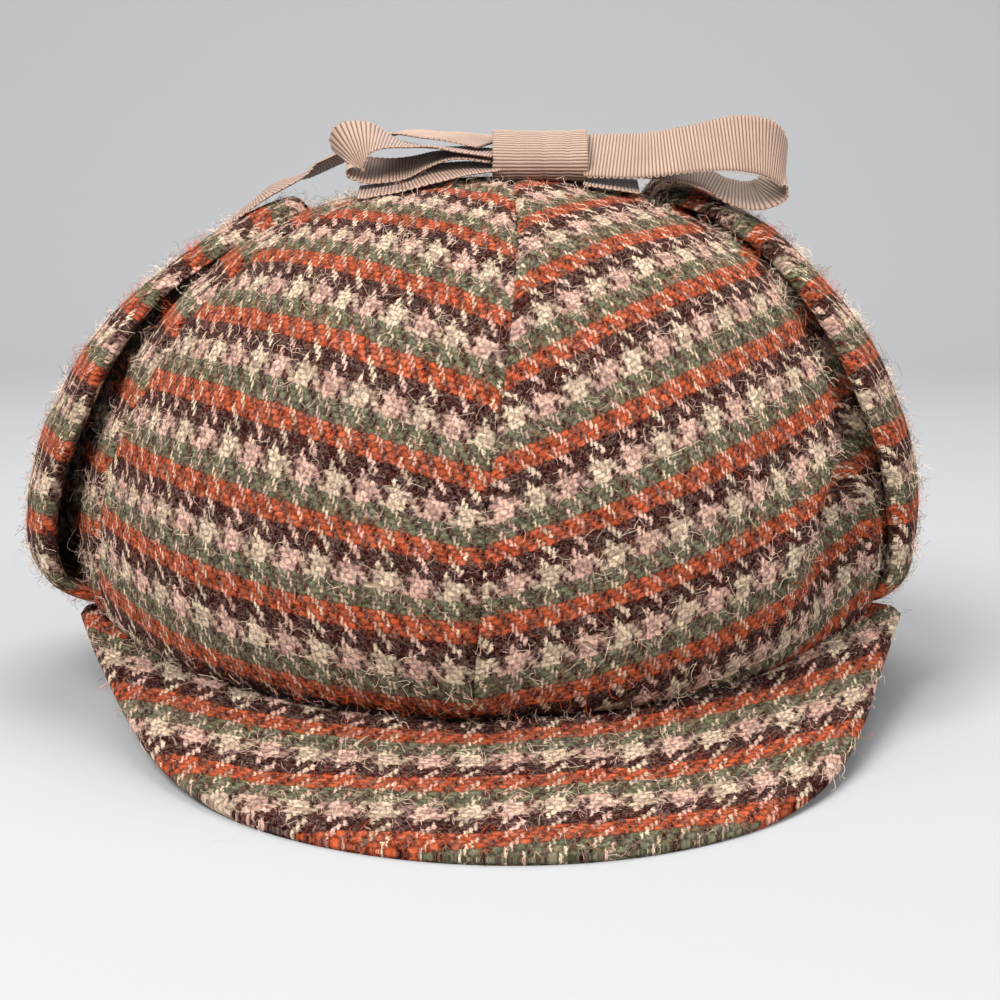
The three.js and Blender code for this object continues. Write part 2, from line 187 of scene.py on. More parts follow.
# Columns: name, place, share of the key light's power, size.
LIGHTS = (
    ("key_light", (-0.55, -0.75, 1.05), 1.0, 0.7),
    ("fill_light", (0.95, -0.7, 0.6), 0.34, 0.9),
    ("top_light", (0.1, 0.35, 1.2), 0.43, 0.8),
)
CAMERA_LENS = 72.4
CAMERA_DISTANCE = 0.480
CAMERA_TILT = 9
CAMERA_TARGET = ((3.8 + CENTRE_SHIFT) * MM, 0, 0.040)

# ---- Sizes and colours that a user would change ----


def colour_setting(name, description, default):
    return FloatVectorProperty(
        name=name, description=description, default=srgb(*default),
        subtype="COLOR", size=3, min=0, max=1,
    )


def length_setting(name, description, default, least, most):
    return FloatProperty(
        name=name, description=description, default=default, min=least, max=most, unit="LENGTH",
    )


class TweedSettings(bpy.types.PropertyGroup):
    rust: colour_setting("Rust", "Colour of the rust weft band", (212, 94, 50))
    green: colour_setting("Green", "Colour of the green weft band", (118, 123, 94))
    cream: colour_setting("Cream", "Colour of the light weft band and of half the stars", (255, 232, 202))
    pink: colour_setting("Pink", "Colour of the other half of the stars", (255, 210, 192))
    dark: colour_setting("Dark", "Colour of the dark yarn", (58, 10, 12))
    yarn_relief: length_setting("Yarn relief", "How far the yarns stand out of the cloth", 0.0009, 0, 0.003)


class FibreSettings(bpy.types.PropertyGroup):
    count_per_area: FloatProperty(
        name="Nap density", description="Nap fibres of each colour per square metre of its band",
        default=182000, min=0, max=1000000,
    )
    length: length_setting("Nap length", "Length of the short nap fibres", 0.0022, 0.0005, 0.02)
    thickness: length_setting("Fibre thickness", "Thickness of a wool fibre", 0.000065, 0.00001, 0.001)
    seed: IntProperty(name="Seed", description="Where the fibres fall", default=7, min=0)


class RibbonSettings(bpy.types.PropertyGroup):
    rib: colour_setting("Rib", "Colour of the tops of the ribs", (174, 147, 129))
    # The groove colour is painted shade in the grooves between the ribs.
    groove_shade: colour_setting("Groove", "Colour of the grooves between the ribs", (92, 62, 52))
    rib_pitch: length_setting("Rib pitch", "Distance from rib to rib", 0.00076, 0.0003, 0.003)
    rib_relief: length_setting("Rib relief", "Height of the ribs", 0.00013, 0, 0.001)


class StageSettings(bpy.types.PropertyGroup):
    floor: colour_setting("Floor", "Colour of the floor and backdrop", (157, 158, 160))
    key_power: FloatProperty(
        name="Key light", description="Power of the main light in watts", default=29.0, min=0,
    )
    world: FloatProperty(
        name="Ambient light", description="Strength of the light from all round", default=0.6, min=0,
    )


# ---- Helpers for shapes ----


def smooth(value, low, high):
    share = np.clip((np.asarray(value, dtype=float) - low) / (high - low), 0, 1)
    return share * share * (3 - 2 * share)


def bell(value, width):
    return np.exp(-((value / width) ** 2))


def side_wave(azimuth):
    return np.sin(np.radians(azimuth)) ** 2


def lookup(table, column, at, blur=0.03):
    """A column of a table at a rise, with its corners rounded off."""
    rises = [row[0] for row in table]
    values = [row[column] for row in table]
    steps = np.linspace(-blur, blur, 7)
    return np.mean([np.interp(np.asarray(at) + step, rises, values) for step in steps], axis=0)


def unit(vectors):
    return vectors / np.maximum(np.linalg.norm(vectors, axis=-1, keepdims=True), 1e-9)


def lengths_along(line):
    """How far along a line of points each of them is."""
    return np.concatenate([[0], np.cumsum(np.linalg.norm(np.diff(line, axis=0), axis=1))])


def eased_shares(count):
    """Shares from 0 to 1 that lie closer together towards both ends."""
    even = np.linspace(-1, 1, count)
    return 0.5 + 0.25 * (even + np.sin(even * math.pi / 2))


def ripple(points, wavelength, seed):
    """Smooth random waves over points, from about -1 to 1."""
    generator = np.random.default_rng(seed)
    total = np.zeros(points.shape[:-1])
    waves = 14
    for _ in range(waves):
        direction = unit(generator.normal(size=3))
        turns = 2 * math.pi * (points @ direction) / (wavelength * generator.uniform(0.7, 1.5))
        total += np.sin(turns + generator.uniform(0, 2 * math.pi))
    return total / math.sqrt(waves)


def rumples(points, seed, height, coarse, fine):
    """The cloth's rise and fall at points, in waves of a coarse and a fine length."""
    return height * ripple(points, coarse, seed) + FINE_RUMPLE * ripple(points, fine, seed + 1)


def add_object(name, data):
    made = bpy.data.objects.new(name, data)
    bpy.context.scene.collection.objects.link(made)
    return made


def make_object(name, points, faces, uvs, finish, map_name):
    """A mesh object from millimetre points, with one UV for each point in metres."""
    mesh = bpy.data.meshes.new(name)
    places = np.asarray(points, dtype=float).reshape(-1, 3) + (CENTRE_SHIFT, 0, 0)
    mesh.from_pydata((places * MM).tolist(), [], [list(face) for face in faces])
    mesh.materials.append(finish)
    layer = mesh.uv_layers.new(name=map_name)
    corners = np.empty(len(mesh.loops), dtype=np.int32)
    mesh.loops.foreach_get("vertex_index", corners)
    layer.data.foreach_set("uv", np.asarray(uvs, dtype=float).reshape(-1, 2)[corners].ravel())
    mesh.polygons.foreach_set("use_smooth", [True] * len(mesh.polygons))
    mesh.update()
    volume = sum(
        mesh.vertices[p.vertices[0]].co.dot(p.normal) * p.area for p in mesh.polygons
    )
    if volume < 0:
        mesh.flip_normals()
    return add_object(name, mesh)


def grid_quads(grid):
    """The four-sided faces between neighbours in a grid of point numbers."""
    corners = [grid[:-1, :-1], grid[:-1, 1:], grid[1:, 1:], grid[1:, :-1]]
    return np.stack(corners, axis=-1).reshape(-1, 4)


def wall(name, outer, inner, outer_uv, inner_uv, finish, map_name=WEAVE_MAP):
    """A closed wall between an outer and an inner grid."""
    top, low = np.arange(2 * outer[..., 0].size).reshape(2, *outer.shape[:2])
    faces = [grid_quads(top), grid_quads(low)[:, ::-1]]
    for a, b in (
        (top[:, 0], low[:, 0]), (low[:, -1], top[:, -1]),
        (low[0, :], top[0, :]), (top[-1, :], low[-1, :]),
    ):
        faces.append(np.stack([a[:-1], a[1:], b[1:], b[:-1]], axis=-1))
    points = np.stack([outer, inner])
    return make_object(name, points, np.concatenate(faces), [outer_uv, inner_uv], finish, map_name)


def round_edge(distance, radius):
    """Half thickness as a share of the full one, at a distance from a rounded edge."""
    inside = 1 - np.clip(distance / radius, 0, 1)
    return np.sqrt(np.maximum(1 - inside * inside, 0.02))


def path_points(stations, shares):
    """Points on a smooth curve through stations, at shares from 0 to 1 of its spans."""
    points = np.asarray(stations, dtype=float)
    padded = np.vstack([2 * points[0] - points[1], points, 2 * points[-1] - points[-2]])
    place = np.clip(shares, 0, 1) * (len(points) - 1)
    span = np.minimum(place.astype(int), len(points) - 2)
    weight = (place - span)[:, None]
    p0, p1, p2, p3 = (padded[span + k] for k in range(4))

    def pace(a, b):
        return np.maximum(np.sum((a - b) ** 2, axis=1) ** 0.25, 1e-4)[:, None]

    t0, t1, t2 = pace(p0, p1), pace(p1, p2), pace(p2, p3)
    start = t1 * ((p1 - p0) / t0 - (p2 - p0) / (t0 + t1) + (p2 - p1) / t1)
    end = t1 * ((p2 - p1) / t1 - (p3 - p1) / (t1 + t2) + (p3 - p2) / t2)
    c2 = -3 * p1 + 3 * p2 - 2 * start - end
    c3 = 2 * p1 - 2 * p2 + start + end
    return p1 + start * weight + c2 * weight**2 + c3 * weight**3


# ---- Crown, peaks and flaps ----


def rim_height(azimuth):
    return RIM_FRONT_HEIGHT + RIM_SIDE_RISE * side_wave(azimuth)


def dent_at(azimuth, height):
    ridge = DENT["ridge_low"] + DENT["ridge_turn"] * smooth(height, DENT["turn_from"], DENT["turn_to"])
    low = DENT["depth"] * bell(azimuth - ridge - DENT["behind_ridge"], DENT["width"])
    high = DENT["ridge"] * bell(azimuth - ridge, DENT["ridge_width"])
    return bell(height - DENT["middle"], DENT["reach"]) * (low - high)


def panel_share(azimuth):
    turn = np.mod(azimuth, 360)
    seams = np.asarray(PANEL_SEAMS)
    order = np.clip(np.searchsorted(seams, turn, side="right") - 1, 0, len(seams) - 2)
    return (turn - seams[order]) / (seams[order + 1] - seams[order])


def crown_point(azimuth, rise, dented=1):
    """Points on the outside of the crown. Rise is 0 at the rim and 1 at the top."""
    azimuth, rise = np.broadcast_arrays(np.asarray(azimuth, float), np.asarray(rise, float))
    turn = np.radians(90 * np.clip(rise, 0, 1))
    spread = np.maximum(np.cos(turn), 0) ** (2 / CROWN_SQUARENESS)
    lift = np.maximum(np.sin(turn), 0) ** (2 / CROWN_SQUARENESS)
    rim = rim_height(azimuth)
    height = (CROWN_TOP - rim) * lift
    size = PUFF_FRONT + (PUFF_SIDE - PUFF_FRONT) * side_wave(azimuth)
    puff = size * (height / PUFF_HEIGHT) * np.exp(1 - height / PUFF_HEIGHT)
    swell = PANEL_SWELL * np.sin(np.pi * panel_share(azimuth))
    grow = spread * (puff + swell * smooth(height, 0, 30)) - dented * dent_at(azimuth, height)
    turn_round = np.radians(azimuth)
    return np.stack([
        (RIM_HALF_WIDTH * spread + grow) * np.sin(turn_round) + CROWN_LEAN * lift**2,
        -(RIM_HALF_DEPTH * spread + grow) * np.cos(turn_round),
        rim + height,
    ], axis=-1)


def off_crown(azimuth, rise, distance, dented=1):
    """Points at a distance outside the crown."""
    azimuth, rise, distance = np.broadcast_arrays(azimuth, rise, distance)
    safe = np.clip(rise, 0.004, 0.992)
    up = crown_point(azimuth, safe + 0.004, dented) - crown_point(azimuth, safe - 0.004, dented)
    along = crown_point(azimuth + 0.4, safe, dented) - crown_point(azimuth - 0.4, safe, dented)
    return crown_point(azimuth, rise, dented) + unit(np.cross(along, up)) * distance[..., None]


def even_rises(azimuth, rows, highest):
    """Rises that are an even distance apart along the crown at an azimuth."""
    fine = np.linspace(0, 1, 1200)
    lengths = lengths_along(crown_point(azimuth, fine))
    top = np.interp(highest, fine, lengths)
    return np.interp(np.linspace(0, top, rows), lengths, fine)


# Columns: name, how steeply its bands climb across it, where its weave starts across and up, its
# stretch.
PANELS = (
    ("front_right", 0.318, 2.4, 15.5, 1.003),
    ("side_right", 0.0, 1.0, 9.0, 1.0),
    ("back_right", -0.26, 5.0, 11.0, 1.0),
    ("back_left", 0.26, 8.0, 11.0, 1.0),
    ("side_left", 0.0, 3.0, 9.0, 1.0),
    ("front_left", -0.204, 5.6, 7.6, 0.976),
)
PANEL_BOW = -0.215
# How the cloth sinks at a seam, swells beside it and puckers, and how its rim is tucked in.
SEAM_DEPTH = 0.75
SEAM_RIDGE = 0.40
SEAM_PUCKER = 0.22
RIM_TUCK = 1.3
# How far the cloth was eased up or down as it was shaped. Columns: place up the panel, ease.
EASE = ((0, -2.2), (16, -0.9), (34, 0.3), (46, 1.5), (64, 1.3), (82, -0.2), (102, -1.1), (140, -1.6))
# How far round the front seam wanders. Columns: height, degrees.
SEAM_SWAY = ((12, -1.1), (35, 0.0), (60, 0.5), (75, 1.7), (85, 2.6), (100, 3.6), (112, 4.4))


def panel_map(points, middle, climb, across, start, stretch):
    """The weave's place at each point of a panel that is cut flat with its grain up its middle."""
    turn = math.radians(middle)
    outward = np.array([math.sin(turn), -math.cos(turn), 0])
    sideways = np.array([math.cos(turn), math.sin(turn), 0])
    flat_x = points @ outward
    flat_y = points @ sideways
    reach = np.hypot(flat_x, flat_y)
    angle = np.arctan2(flat_y, np.maximum(flat_x, 0.01))
    fine = np.linspace(0, 0.9995, 900)
    line = crown_point(middle, fine)
    line_reach = line @ outward
    polar = np.arctan2(line[:, 2] - RIM_FRONT_HEIGHT, np.maximum(line_reach, 0.01))
    lengths = lengths_along(line) + line[0, 2] - RIM_FRONT_HEIGHT
    slope = np.clip(-np.gradient(line_reach, lengths), 0, 1)
    keep = np.argsort(polar)
    here = np.arctan2(points[..., 2] - RIM_FRONT_HEIGHT, np.maximum(reach, 0.01))
    along = np.interp(here, polar[keep], lengths[keep])
    along = np.where(here < polar.min(), points[..., 2] - RIM_FRONT_HEIGHT, along)
    bow = np.interp(here, polar[keep], slope[keep]) + PANEL_BOW
    wide = reach * angle
    eased = along + lookup(EASE, 1, along, 5)
    up = eased + reach * angle**2 * bow / 2 - climb * wide - start
    return np.stack([wide + across, up * stretch + 2 * PICK_SPACING], axis=-1) * MM


def crown_panel(order, finish):
    name, climb, across, start, stretch = PANELS[order]
    first, last = PANEL_SEAMS[order], PANEL_SEAMS[order + 1]
    middle = (first + last) / 2
    rows, columns = 72, 54
    rises = even_rises(middle, rows, 0.9992)
    shares = eased_shares(columns)
    rise = np.broadcast_to(rises[:, None], (rows, columns))
    sway = lookup(SEAM_SWAY, 1, crown_point(0, rises)[:, 2], 6)[:, None]
    low = first + (sway if first == 0 else 0)
    high = last + (sway if last == 360 else 0)
    azimuth = low + (high - low) * shares[None, :] * np.ones((rows, 1))
    base = crown_point(azimuth, rise)
    reach = np.hypot(base[..., 0], base[..., 1])
    seam = np.radians((last - first) * np.minimum(shares, 1 - shares)) * reach
    height = base[..., 2] - rim_height(azimuth)
    pull = 0.5 + 0.5 * smooth(height, 0, 20)
    settle = -SEAM_DEPTH * bell(seam, 1.0) + SEAM_RIDGE * bell(seam - 4.2, 2.6) * pull
    pucker = SEAM_PUCKER * bell(seam, 5) * ripple(base, 6.5, 41 + order)
    rumple = rumples(base, 11, 0.42, 34, 11)
    tuck = -RIM_TUCK * np.exp(-np.maximum(height, 0) / 1.8)
    fade = smooth(reach, 2, 9)
    outer = off_crown(azimuth, rise, settle * fade + (pucker + rumple) * fade + tuck)
    inner = off_crown(azimuth, rise, (0.3 * rumple * fade - CLOTH) * np.ones_like(seam))
    outer[0, :, 2] -= 0.25
    uv = panel_map(outer, middle, climb, across, start, stretch)
    return wall(f"panel_cloth_{name}", outer, inner, uv, uv, finish), (outer, uv)


def peak_reach(azimuth):
    return PEAK_LIP + PEAK_REACH * np.cos(np.radians(PEAK_NARROWING * azimuth)) ** 3


def peak_point(azimuth, out, level, skew):
    """Points of the front peak. Out is 0 at its sewn edge and 1 at its free edge."""
    reach = peak_reach(azimuth)
    distance = -PEAK_INNER + (reach + PEAK_INNER) * out
    rim = rim_height(azimuth) - 0.3
    raised = smooth(np.abs(azimuth), PEAK_LIFT_FROM, PEAK_HALF_ANGLE)
    low_edge = PEAK_THICKNESS - PEAK_SINK
    edge = low_edge + (rim - PEAK_LIFT_BELOW - low_edge) * raised
    tip = PEAK_TIP_LIFT * smooth(np.abs(azimuth), 60, PEAK_HALF_ANGLE)
    top = rim + (edge - rim) * out + tip
    shift = skew * out * np.sqrt(reach / (PEAK_LIP + PEAK_REACH))
    turn = np.radians(azimuth)
    return np.stack([
        (RIM_HALF_WIDTH + distance) * np.sin(turn) + shift,
        -(RIM_HALF_DEPTH + distance) * np.cos(turn),
        np.maximum(0, top - PEAK_THICKNESS * (1 - level)),
    ], axis=-1)


# The peaks' cloth is drawn out, and its bands curve back towards their ends.
PEAK_STRETCH = 0.88
PEAK_BOW = 0.0059
PEAK_SLANT = 0.033
PEAK_START = 2.6
PEAK_ACROSS = 3.1


def peak_cloth(name, skew, back, finish):
    rows, columns = 58, 122
    outs = 1 - (1 - np.linspace(0, 1, rows)) ** 1.5
    turns = np.linspace(-PEAK_HALF_ANGLE, PEAK_HALF_ANGLE, columns)
    azimuth, out = np.broadcast_arrays(turns[None, :], outs[:, None])
    from_edge = (1 - out) * (peak_reach(azimuth) + PEAK_INNER)
    from_end = (PEAK_HALF_ANGLE - np.abs(azimuth)) * np.radians(1) * RIM_HALF_DEPTH
    thick = round_edge(from_edge, 2.6) * round_edge(from_end, 2.4)
    top = peak_point(azimuth, out, 0.5 + 0.5 * thick, skew)
    under = peak_point(azimuth, out, 0.5 - 0.5 * thick, skew)
    soft = smooth(from_edge, 0.2, 5) * smooth(from_end, 0.5, 6)
    rolled_edge = 0.12 * bell(from_edge - 3.2, 2.2)
    top[..., 2] += (rumples(top, 21, 0.35, 30, 9) + rolled_edge) * soft
    steps = np.diff(top, axis=0)
    rolled = np.linalg.norm(steps, axis=-1) - np.linalg.norm(steps[..., :2], axis=-1)
    rolled = np.concatenate([np.zeros((1, columns)), np.cumsum(rolled, axis=0)])
    away = -top[..., 1] - RIM_HALF_DEPTH + rolled
    across = top[..., 0]
    outward = away + PEAK_BOW * across**2 + PEAK_SLANT * across - PEAK_START
    uv = np.stack([across * PEAK_STRETCH + PEAK_ACROSS, outward * PEAK_STRETCH], axis=-1) * MM
    turned = (-1, -1, 1) if back else (1, 1, 1)
    return wall(name, top * turned, under * turned, uv, uv, finish), (top * turned, uv)


def flap_cloth(name, middle, stand_off, pull, merging, narrowing, finish):
    rows, columns = 64, 46
    first = FLAP_OUTLINE[0][0]
    last = FLAP_OUTLINE[-1][0] * pull
    rises = even_rises(middle, 600, 1.0)
    lengths = np.linspace(0, 1, 600)
    start, end = np.interp([first, last], rises, lengths)
    rise_line = np.interp(start + (end - start) * eased_shares(rows), lengths, rises)
    run = lengths_along(crown_point(middle, rise_line))
    from_tip = run[-1] - run
    half_width = lookup(FLAP_OUTLINE, 1, rise_line / pull, FLAP_BLUR)
    half_width = half_width * (1 - narrowing * smooth(rise_line, *FLAP_NARROWS_BETWEEN))
    half_width = half_width * (1 - 0.5 * bell(from_tip, 2.2)) - 1.2 * bell(run, 2.5)
    spread = np.cos(np.radians(90 * rise_line)) ** (2 / CROWN_SQUARENESS)
    middle_gap = lookup(stand_off, 1, rise_line, FLAP_BLUR)
    edge_gap = lookup(stand_off, 2, rise_line, FLAP_BLUR)
    half_angle = np.degrees(half_width / (RIM_HALF_DEPTH * spread + middle_gap))
    place = np.sin(np.linspace(-1, 1, columns) * math.pi / 2 * 0.96)
    place = place / place[-1]
    azimuth = middle + place[None, :] * half_angle[:, None]
    rise = np.broadcast_to(rise_line[:, None], azimuth.shape)
    gap = middle_gap[:, None] + (edge_gap - middle_gap)[:, None] * place[None, :] ** 2
    from_side = (1 - np.abs(place))[None, :] * half_width[:, None]
    ends = np.minimum(run, from_tip)[:, None]
    merge = smooth(rise_line, *merging)[:, None]
    thick = round_edge(from_side, 2.4 + 9 * merge) * round_edge(ends, 2.2)
    soft = smooth(from_side, 0.3, 5) * smooth(ends, 0.3, 5)
    half = FLAP_THICKNESS / 2 * thick
    core = gap + FLAP_THICKNESS / 2 * (1 - merge * (1 - thick))
    rumple = rumples(crown_point(azimuth, rise, 0), 31, 0.38, 26, 9)
    outer = off_crown(azimuth, rise, core + half + rumple * soft, 0)
    inner = off_crown(azimuth, rise, core - half, 0)
    steps = np.linalg.norm(np.diff(outer, axis=1), axis=-1)
    across = np.concatenate([np.zeros((rows, 1)), np.cumsum(steps, axis=1)], axis=1)
    across = across - across[:, columns // 2, None]
    along = lengths_along(outer[:, columns // 2])[:, None] * np.ones((1, columns))
    uv = np.stack([across + FLAP_ACROSS, along + FLAP_START], axis=-1) * MM
    edge = np.where(np.arange(columns) < columns // 2, uv[:, :1, 0], uv[:, -1:, 0])
    below = np.stack([2 * edge - uv[..., 0], uv[..., 1]], axis=-1)
    return wall(name, outer, inner, uv, below, finish), (outer, uv)


# ---- Helpers for nodes ----


class Value:
    """An output of a node. Sums with it add nodes to its tree: of vectors, or else of numbers."""

    def __init__(self, nodes, socket):
        self.nodes, self.socket = nodes, socket

    def math(self, operation, *others):
        kind = "ShaderNodeMath" if self.socket.type == "VALUE" else "ShaderNodeVectorMath"
        return self.nodes.value(kind, dict(enumerate((self, *others))), operation=operation)

    def __add__(self, other):
        return self.math("ADD", other)

    def __sub__(self, other):
        return self.math("SUBTRACT", other)

    def __mul__(self, other):
        return self.math("MULTIPLY", other)

    def __truediv__(self, other):
        return self.math("DIVIDE", other)


class Nodes:
    """Adds nodes to a tree, one line each."""

    def __init__(self, tree):
        self.tree = tree

    def link(self, value, target):
        self.tree.links.new(value.socket, target)

    def node(self, kind, values=(), **settings):
        made = self.tree.nodes.new(kind)
        for key, value in settings.items():
            setattr(made, key, value)
        for key, value in dict(values).items():
            if isinstance(value, Value):
                self.link(value, made.inputs[key])
            else:
                made.inputs[key].default_value = value
        return made

    def value(self, kind, values=(), output=0, **settings):
        return Value(self, self.node(kind, values, **settings).outputs[output])

    def parts(self, vector):
        """The three numbers of a vector."""
        made = self.node("ShaderNodeSeparateXYZ", {0: vector})
        return [Value(self, socket) for socket in made.outputs]

    def joined(self, x=0.0, y=0.0, z=0.0):
        return self.value("ShaderNodeCombineXYZ", {0: x, 1: y, 2: z})


class Shader(Nodes):
    """A material and its nodes."""

    def __init__(self, name):
        self.material = bpy.data.materials.new(name)
        self.material.use_nodes = True
        super().__init__(self.material.node_tree)
        self.surface = self.tree.nodes["Principled BSDF"]

    def cloth(self, uv_map):
        """The place on the cloth in millimetres."""
        return self.value("ShaderNodeUVMap", uv_map=uv_map) * (1000, 1000, 0)

    def noise(self, place, scale, detail=2.0, roughness=0.5, output="Fac"):
        values = {"Vector": place, "Scale": scale, "Detail": detail, "Roughness": roughness}
        return self.value("ShaderNodeTexNoise", values, output)

    def shake(self, place, scale, size, detail=2.0, roughness=0.5):
        """Random steps to every side."""
        return (self.noise(place, scale, detail, roughness, "Color") - (0.5, 0.5, 0.5)) * size

    def mix(self, share, first, second, blend="MIX"):
        """A colour between two others."""
        colours = [one if isinstance(one, Value) else (*one[:3], 1) for one in (first, second)]
        values = {0: share, 6: colours[0], 7: colours[1]}
        return self.value("ShaderNodeMix", values, 2, data_type="RGBA", blend_type=blend)

    def multiplied(self, share, first, second):
        """A colour, and by a share its product with another."""
        return self.mix(share, first, self.mix(1.0, first, second, "MULTIPLY"))

    def between(self, share, first, second):
        """A number between two others."""
        return self.value("ShaderNodeMix", {0: share, 2: first, 3: second})

    def choose(self, value, low, high):
        """From 0 at the low value to 1 at the high one."""
        return self.value("ShaderNodeMapRange", {0: value, 1: low, 2: high, 3: 0.0, 4: 1.0}, clamp=True)

    def ramp(self, value, stops, interpolation="LINEAR"):
        made = self.node("ShaderNodeValToRGB", {0: value})
        ramp = made.color_ramp
        ramp.interpolation = interpolation
        while len(ramp.elements) < len(stops):
            ramp.elements.new(1.0)
        for element, (place, shade) in zip(ramp.elements, stops):
            element.position = place
            element.color = (*shade[:3], 1)
        return Value(self, made.outputs[0])

    def by_block(self, block, colours):
        """One of four colours, by the block of yarns: 0, 0.25, 0.5 or 0.75."""
        return self.ramp(block + 0.125, tuple(zip((0.0, 0.25, 0.5, 0.75), colours)), "CONSTANT")

    def bump(self, strength, distance, height):
        values = {"Strength": strength, "Distance": distance, "Height": height}
        self.link(self.value("ShaderNodeBump", values), self.surface.inputs["Normal"])

    def finish(self, base, roughness, **uniform):
        """Gives the surface its colour and roughness, and what is the same all over it."""
        for key, value in (("Base Color", base), ("Roughness", roughness)):
            if isinstance(value, Value):
                self.link(value, self.surface.inputs[key])
            else:
                self.surface.inputs[key].default_value = value
        for key, value in uniform.items():
            self.surface.inputs[key.replace("_", " ")].default_value = value
        return self.material


def tint(base, factor):
    return tuple(min(1, channel * factor) for channel in base[:3])


def grey(level):
    return (level, level, level)


# Columns: scale of a set of loose fibres, their width, how far the set is shifted.
CURLS = ((0.42, 0.030, 3.0), (0.62, 0.040, 11.0), (0.90, 0.052, 23.0), (1.35, 0.070, 37.0))
# The tone of each float by chance. Columns: place in the chance, red, green and blue factors.
FLOAT_TONES = ((0.0, (0.50, 0.42, 0.42)), (0.45, (0.98, 0.95, 0.93)), (1.0, (1.35, 1.33, 1.30)))


def tweed_weave(s, moved, look):
    """Which yarn shows where in a 2 and 2 twill in blocks of four yarns, how high, and its colour."""
    across, up, _ = s.parts(moved)
    end, pick = across / END_SPACING, up / PICK_SPACING
    end_number, pick_number = end.math("FLOOR"), pick.math("FLOOR")
    end_group, pick_group = (end_number / BLOCK).math("FLOOR"), (pick_number / BLOCK).math("FLOOR")
    warp_block = end_group.math("FLOORED_MODULO", 4.0) / 4.0
    weft_block = pick_group.math("FLOORED_MODULO", 4.0) / 4.0
    dark_end = (end_group / 2.0).math("FRACT").math("GREATER_THAN", 0.25)
    colour_band = weft_block.math("LESS_THAN", 0.4)
    light_band = weft_block.math("COMPARE", 0.5, 0.05)

    warp_run = ((pick + end_number).math("FLOORED_MODULO", BLOCK) * (math.pi / 2)).math("SINE")
    weft_run = ((end + pick_number).math("FLOORED_MODULO", BLOCK) * (math.pi / 2)).math("SINE")
    # The coloured bands were beaten up closest, so the light ends hardly show through them.
    widest = s.by_block(weft_block, (grey(0.23), grey(0.23), grey(0.52), grey(0.44)))
    float_shape = warp_run.math("MAXIMUM", 0.0).math("SQRT")
    float_width = float_shape * (dark_end * colour_band * 0.15 + widest)
    end_place, pick_place = end.math("FRACT"), pick.math("FRACT")
    warp_shows = (end_place - 0.5).math("ABSOLUTE").math("LESS_THAN", float_width)
    warp_height = (end_place * math.pi).math("SINE") * warp_run.math("ABSOLUTE")
    weft_height = (pick_place * math.pi).math("SINE") * weft_run.math("ABSOLUTE")
    height = s.between(warp_shows, weft_height, warp_height).math("MAXIMUM", 0.0).math("POWER", 0.6)

    warp_tint = s.by_block(warp_block, (look.cream, look.dark, look.pink, look.dark))
    weft_tint = s.by_block(weft_block, (look.rust, look.green, look.cream, look.dark))
    pink_star = (end + 2.0).math("FLOORED_MODULO", 16.0).math("GREATER_THAN", 8.0)
    weft_tint = s.mix(light_band * pink_star, weft_tint, look.pink)
    # The light picks sink between the dark ends, and painted shade darkens them there, which parts one star
    # from the next.
    weft_tint = s.mix(light_band * dark_end * 0.30, weft_tint, look.dark)
    yarn_tint = s.mix(warp_shows, weft_tint, warp_tint)
    float_cell = s.joined(((end + pick_number) / 2.0).math("FLOOR"), pick_number)
    tone = s.value("ShaderNodeTexWhiteNoise", {"Vector": float_cell}, "Value")
    return warp_shows, height, s.multiplied(0.8, yarn_tint, s.ramp(tone, FLOAT_TONES))


def loose_fibres(s, cloth):
    """Thin bent lines that wander over every band."""
    curls = []
    for scale, width, shift in CURLS:
        shifted = cloth + (shift, shift * 1.7, shift * 0.6)
        line = s.choose((s.noise(shifted, scale, 1.0) - 0.5).math("ABSOLUTE"), width, 0.0)
        curls.append(line * s.choose(s.noise(shifted, scale * 0.9, 1.0), 0.42, 0.52))
    return curls[0].math("MAXIMUM", curls[1]).math("MAXIMUM", curls[2].math("MAXIMUM", curls[3]))


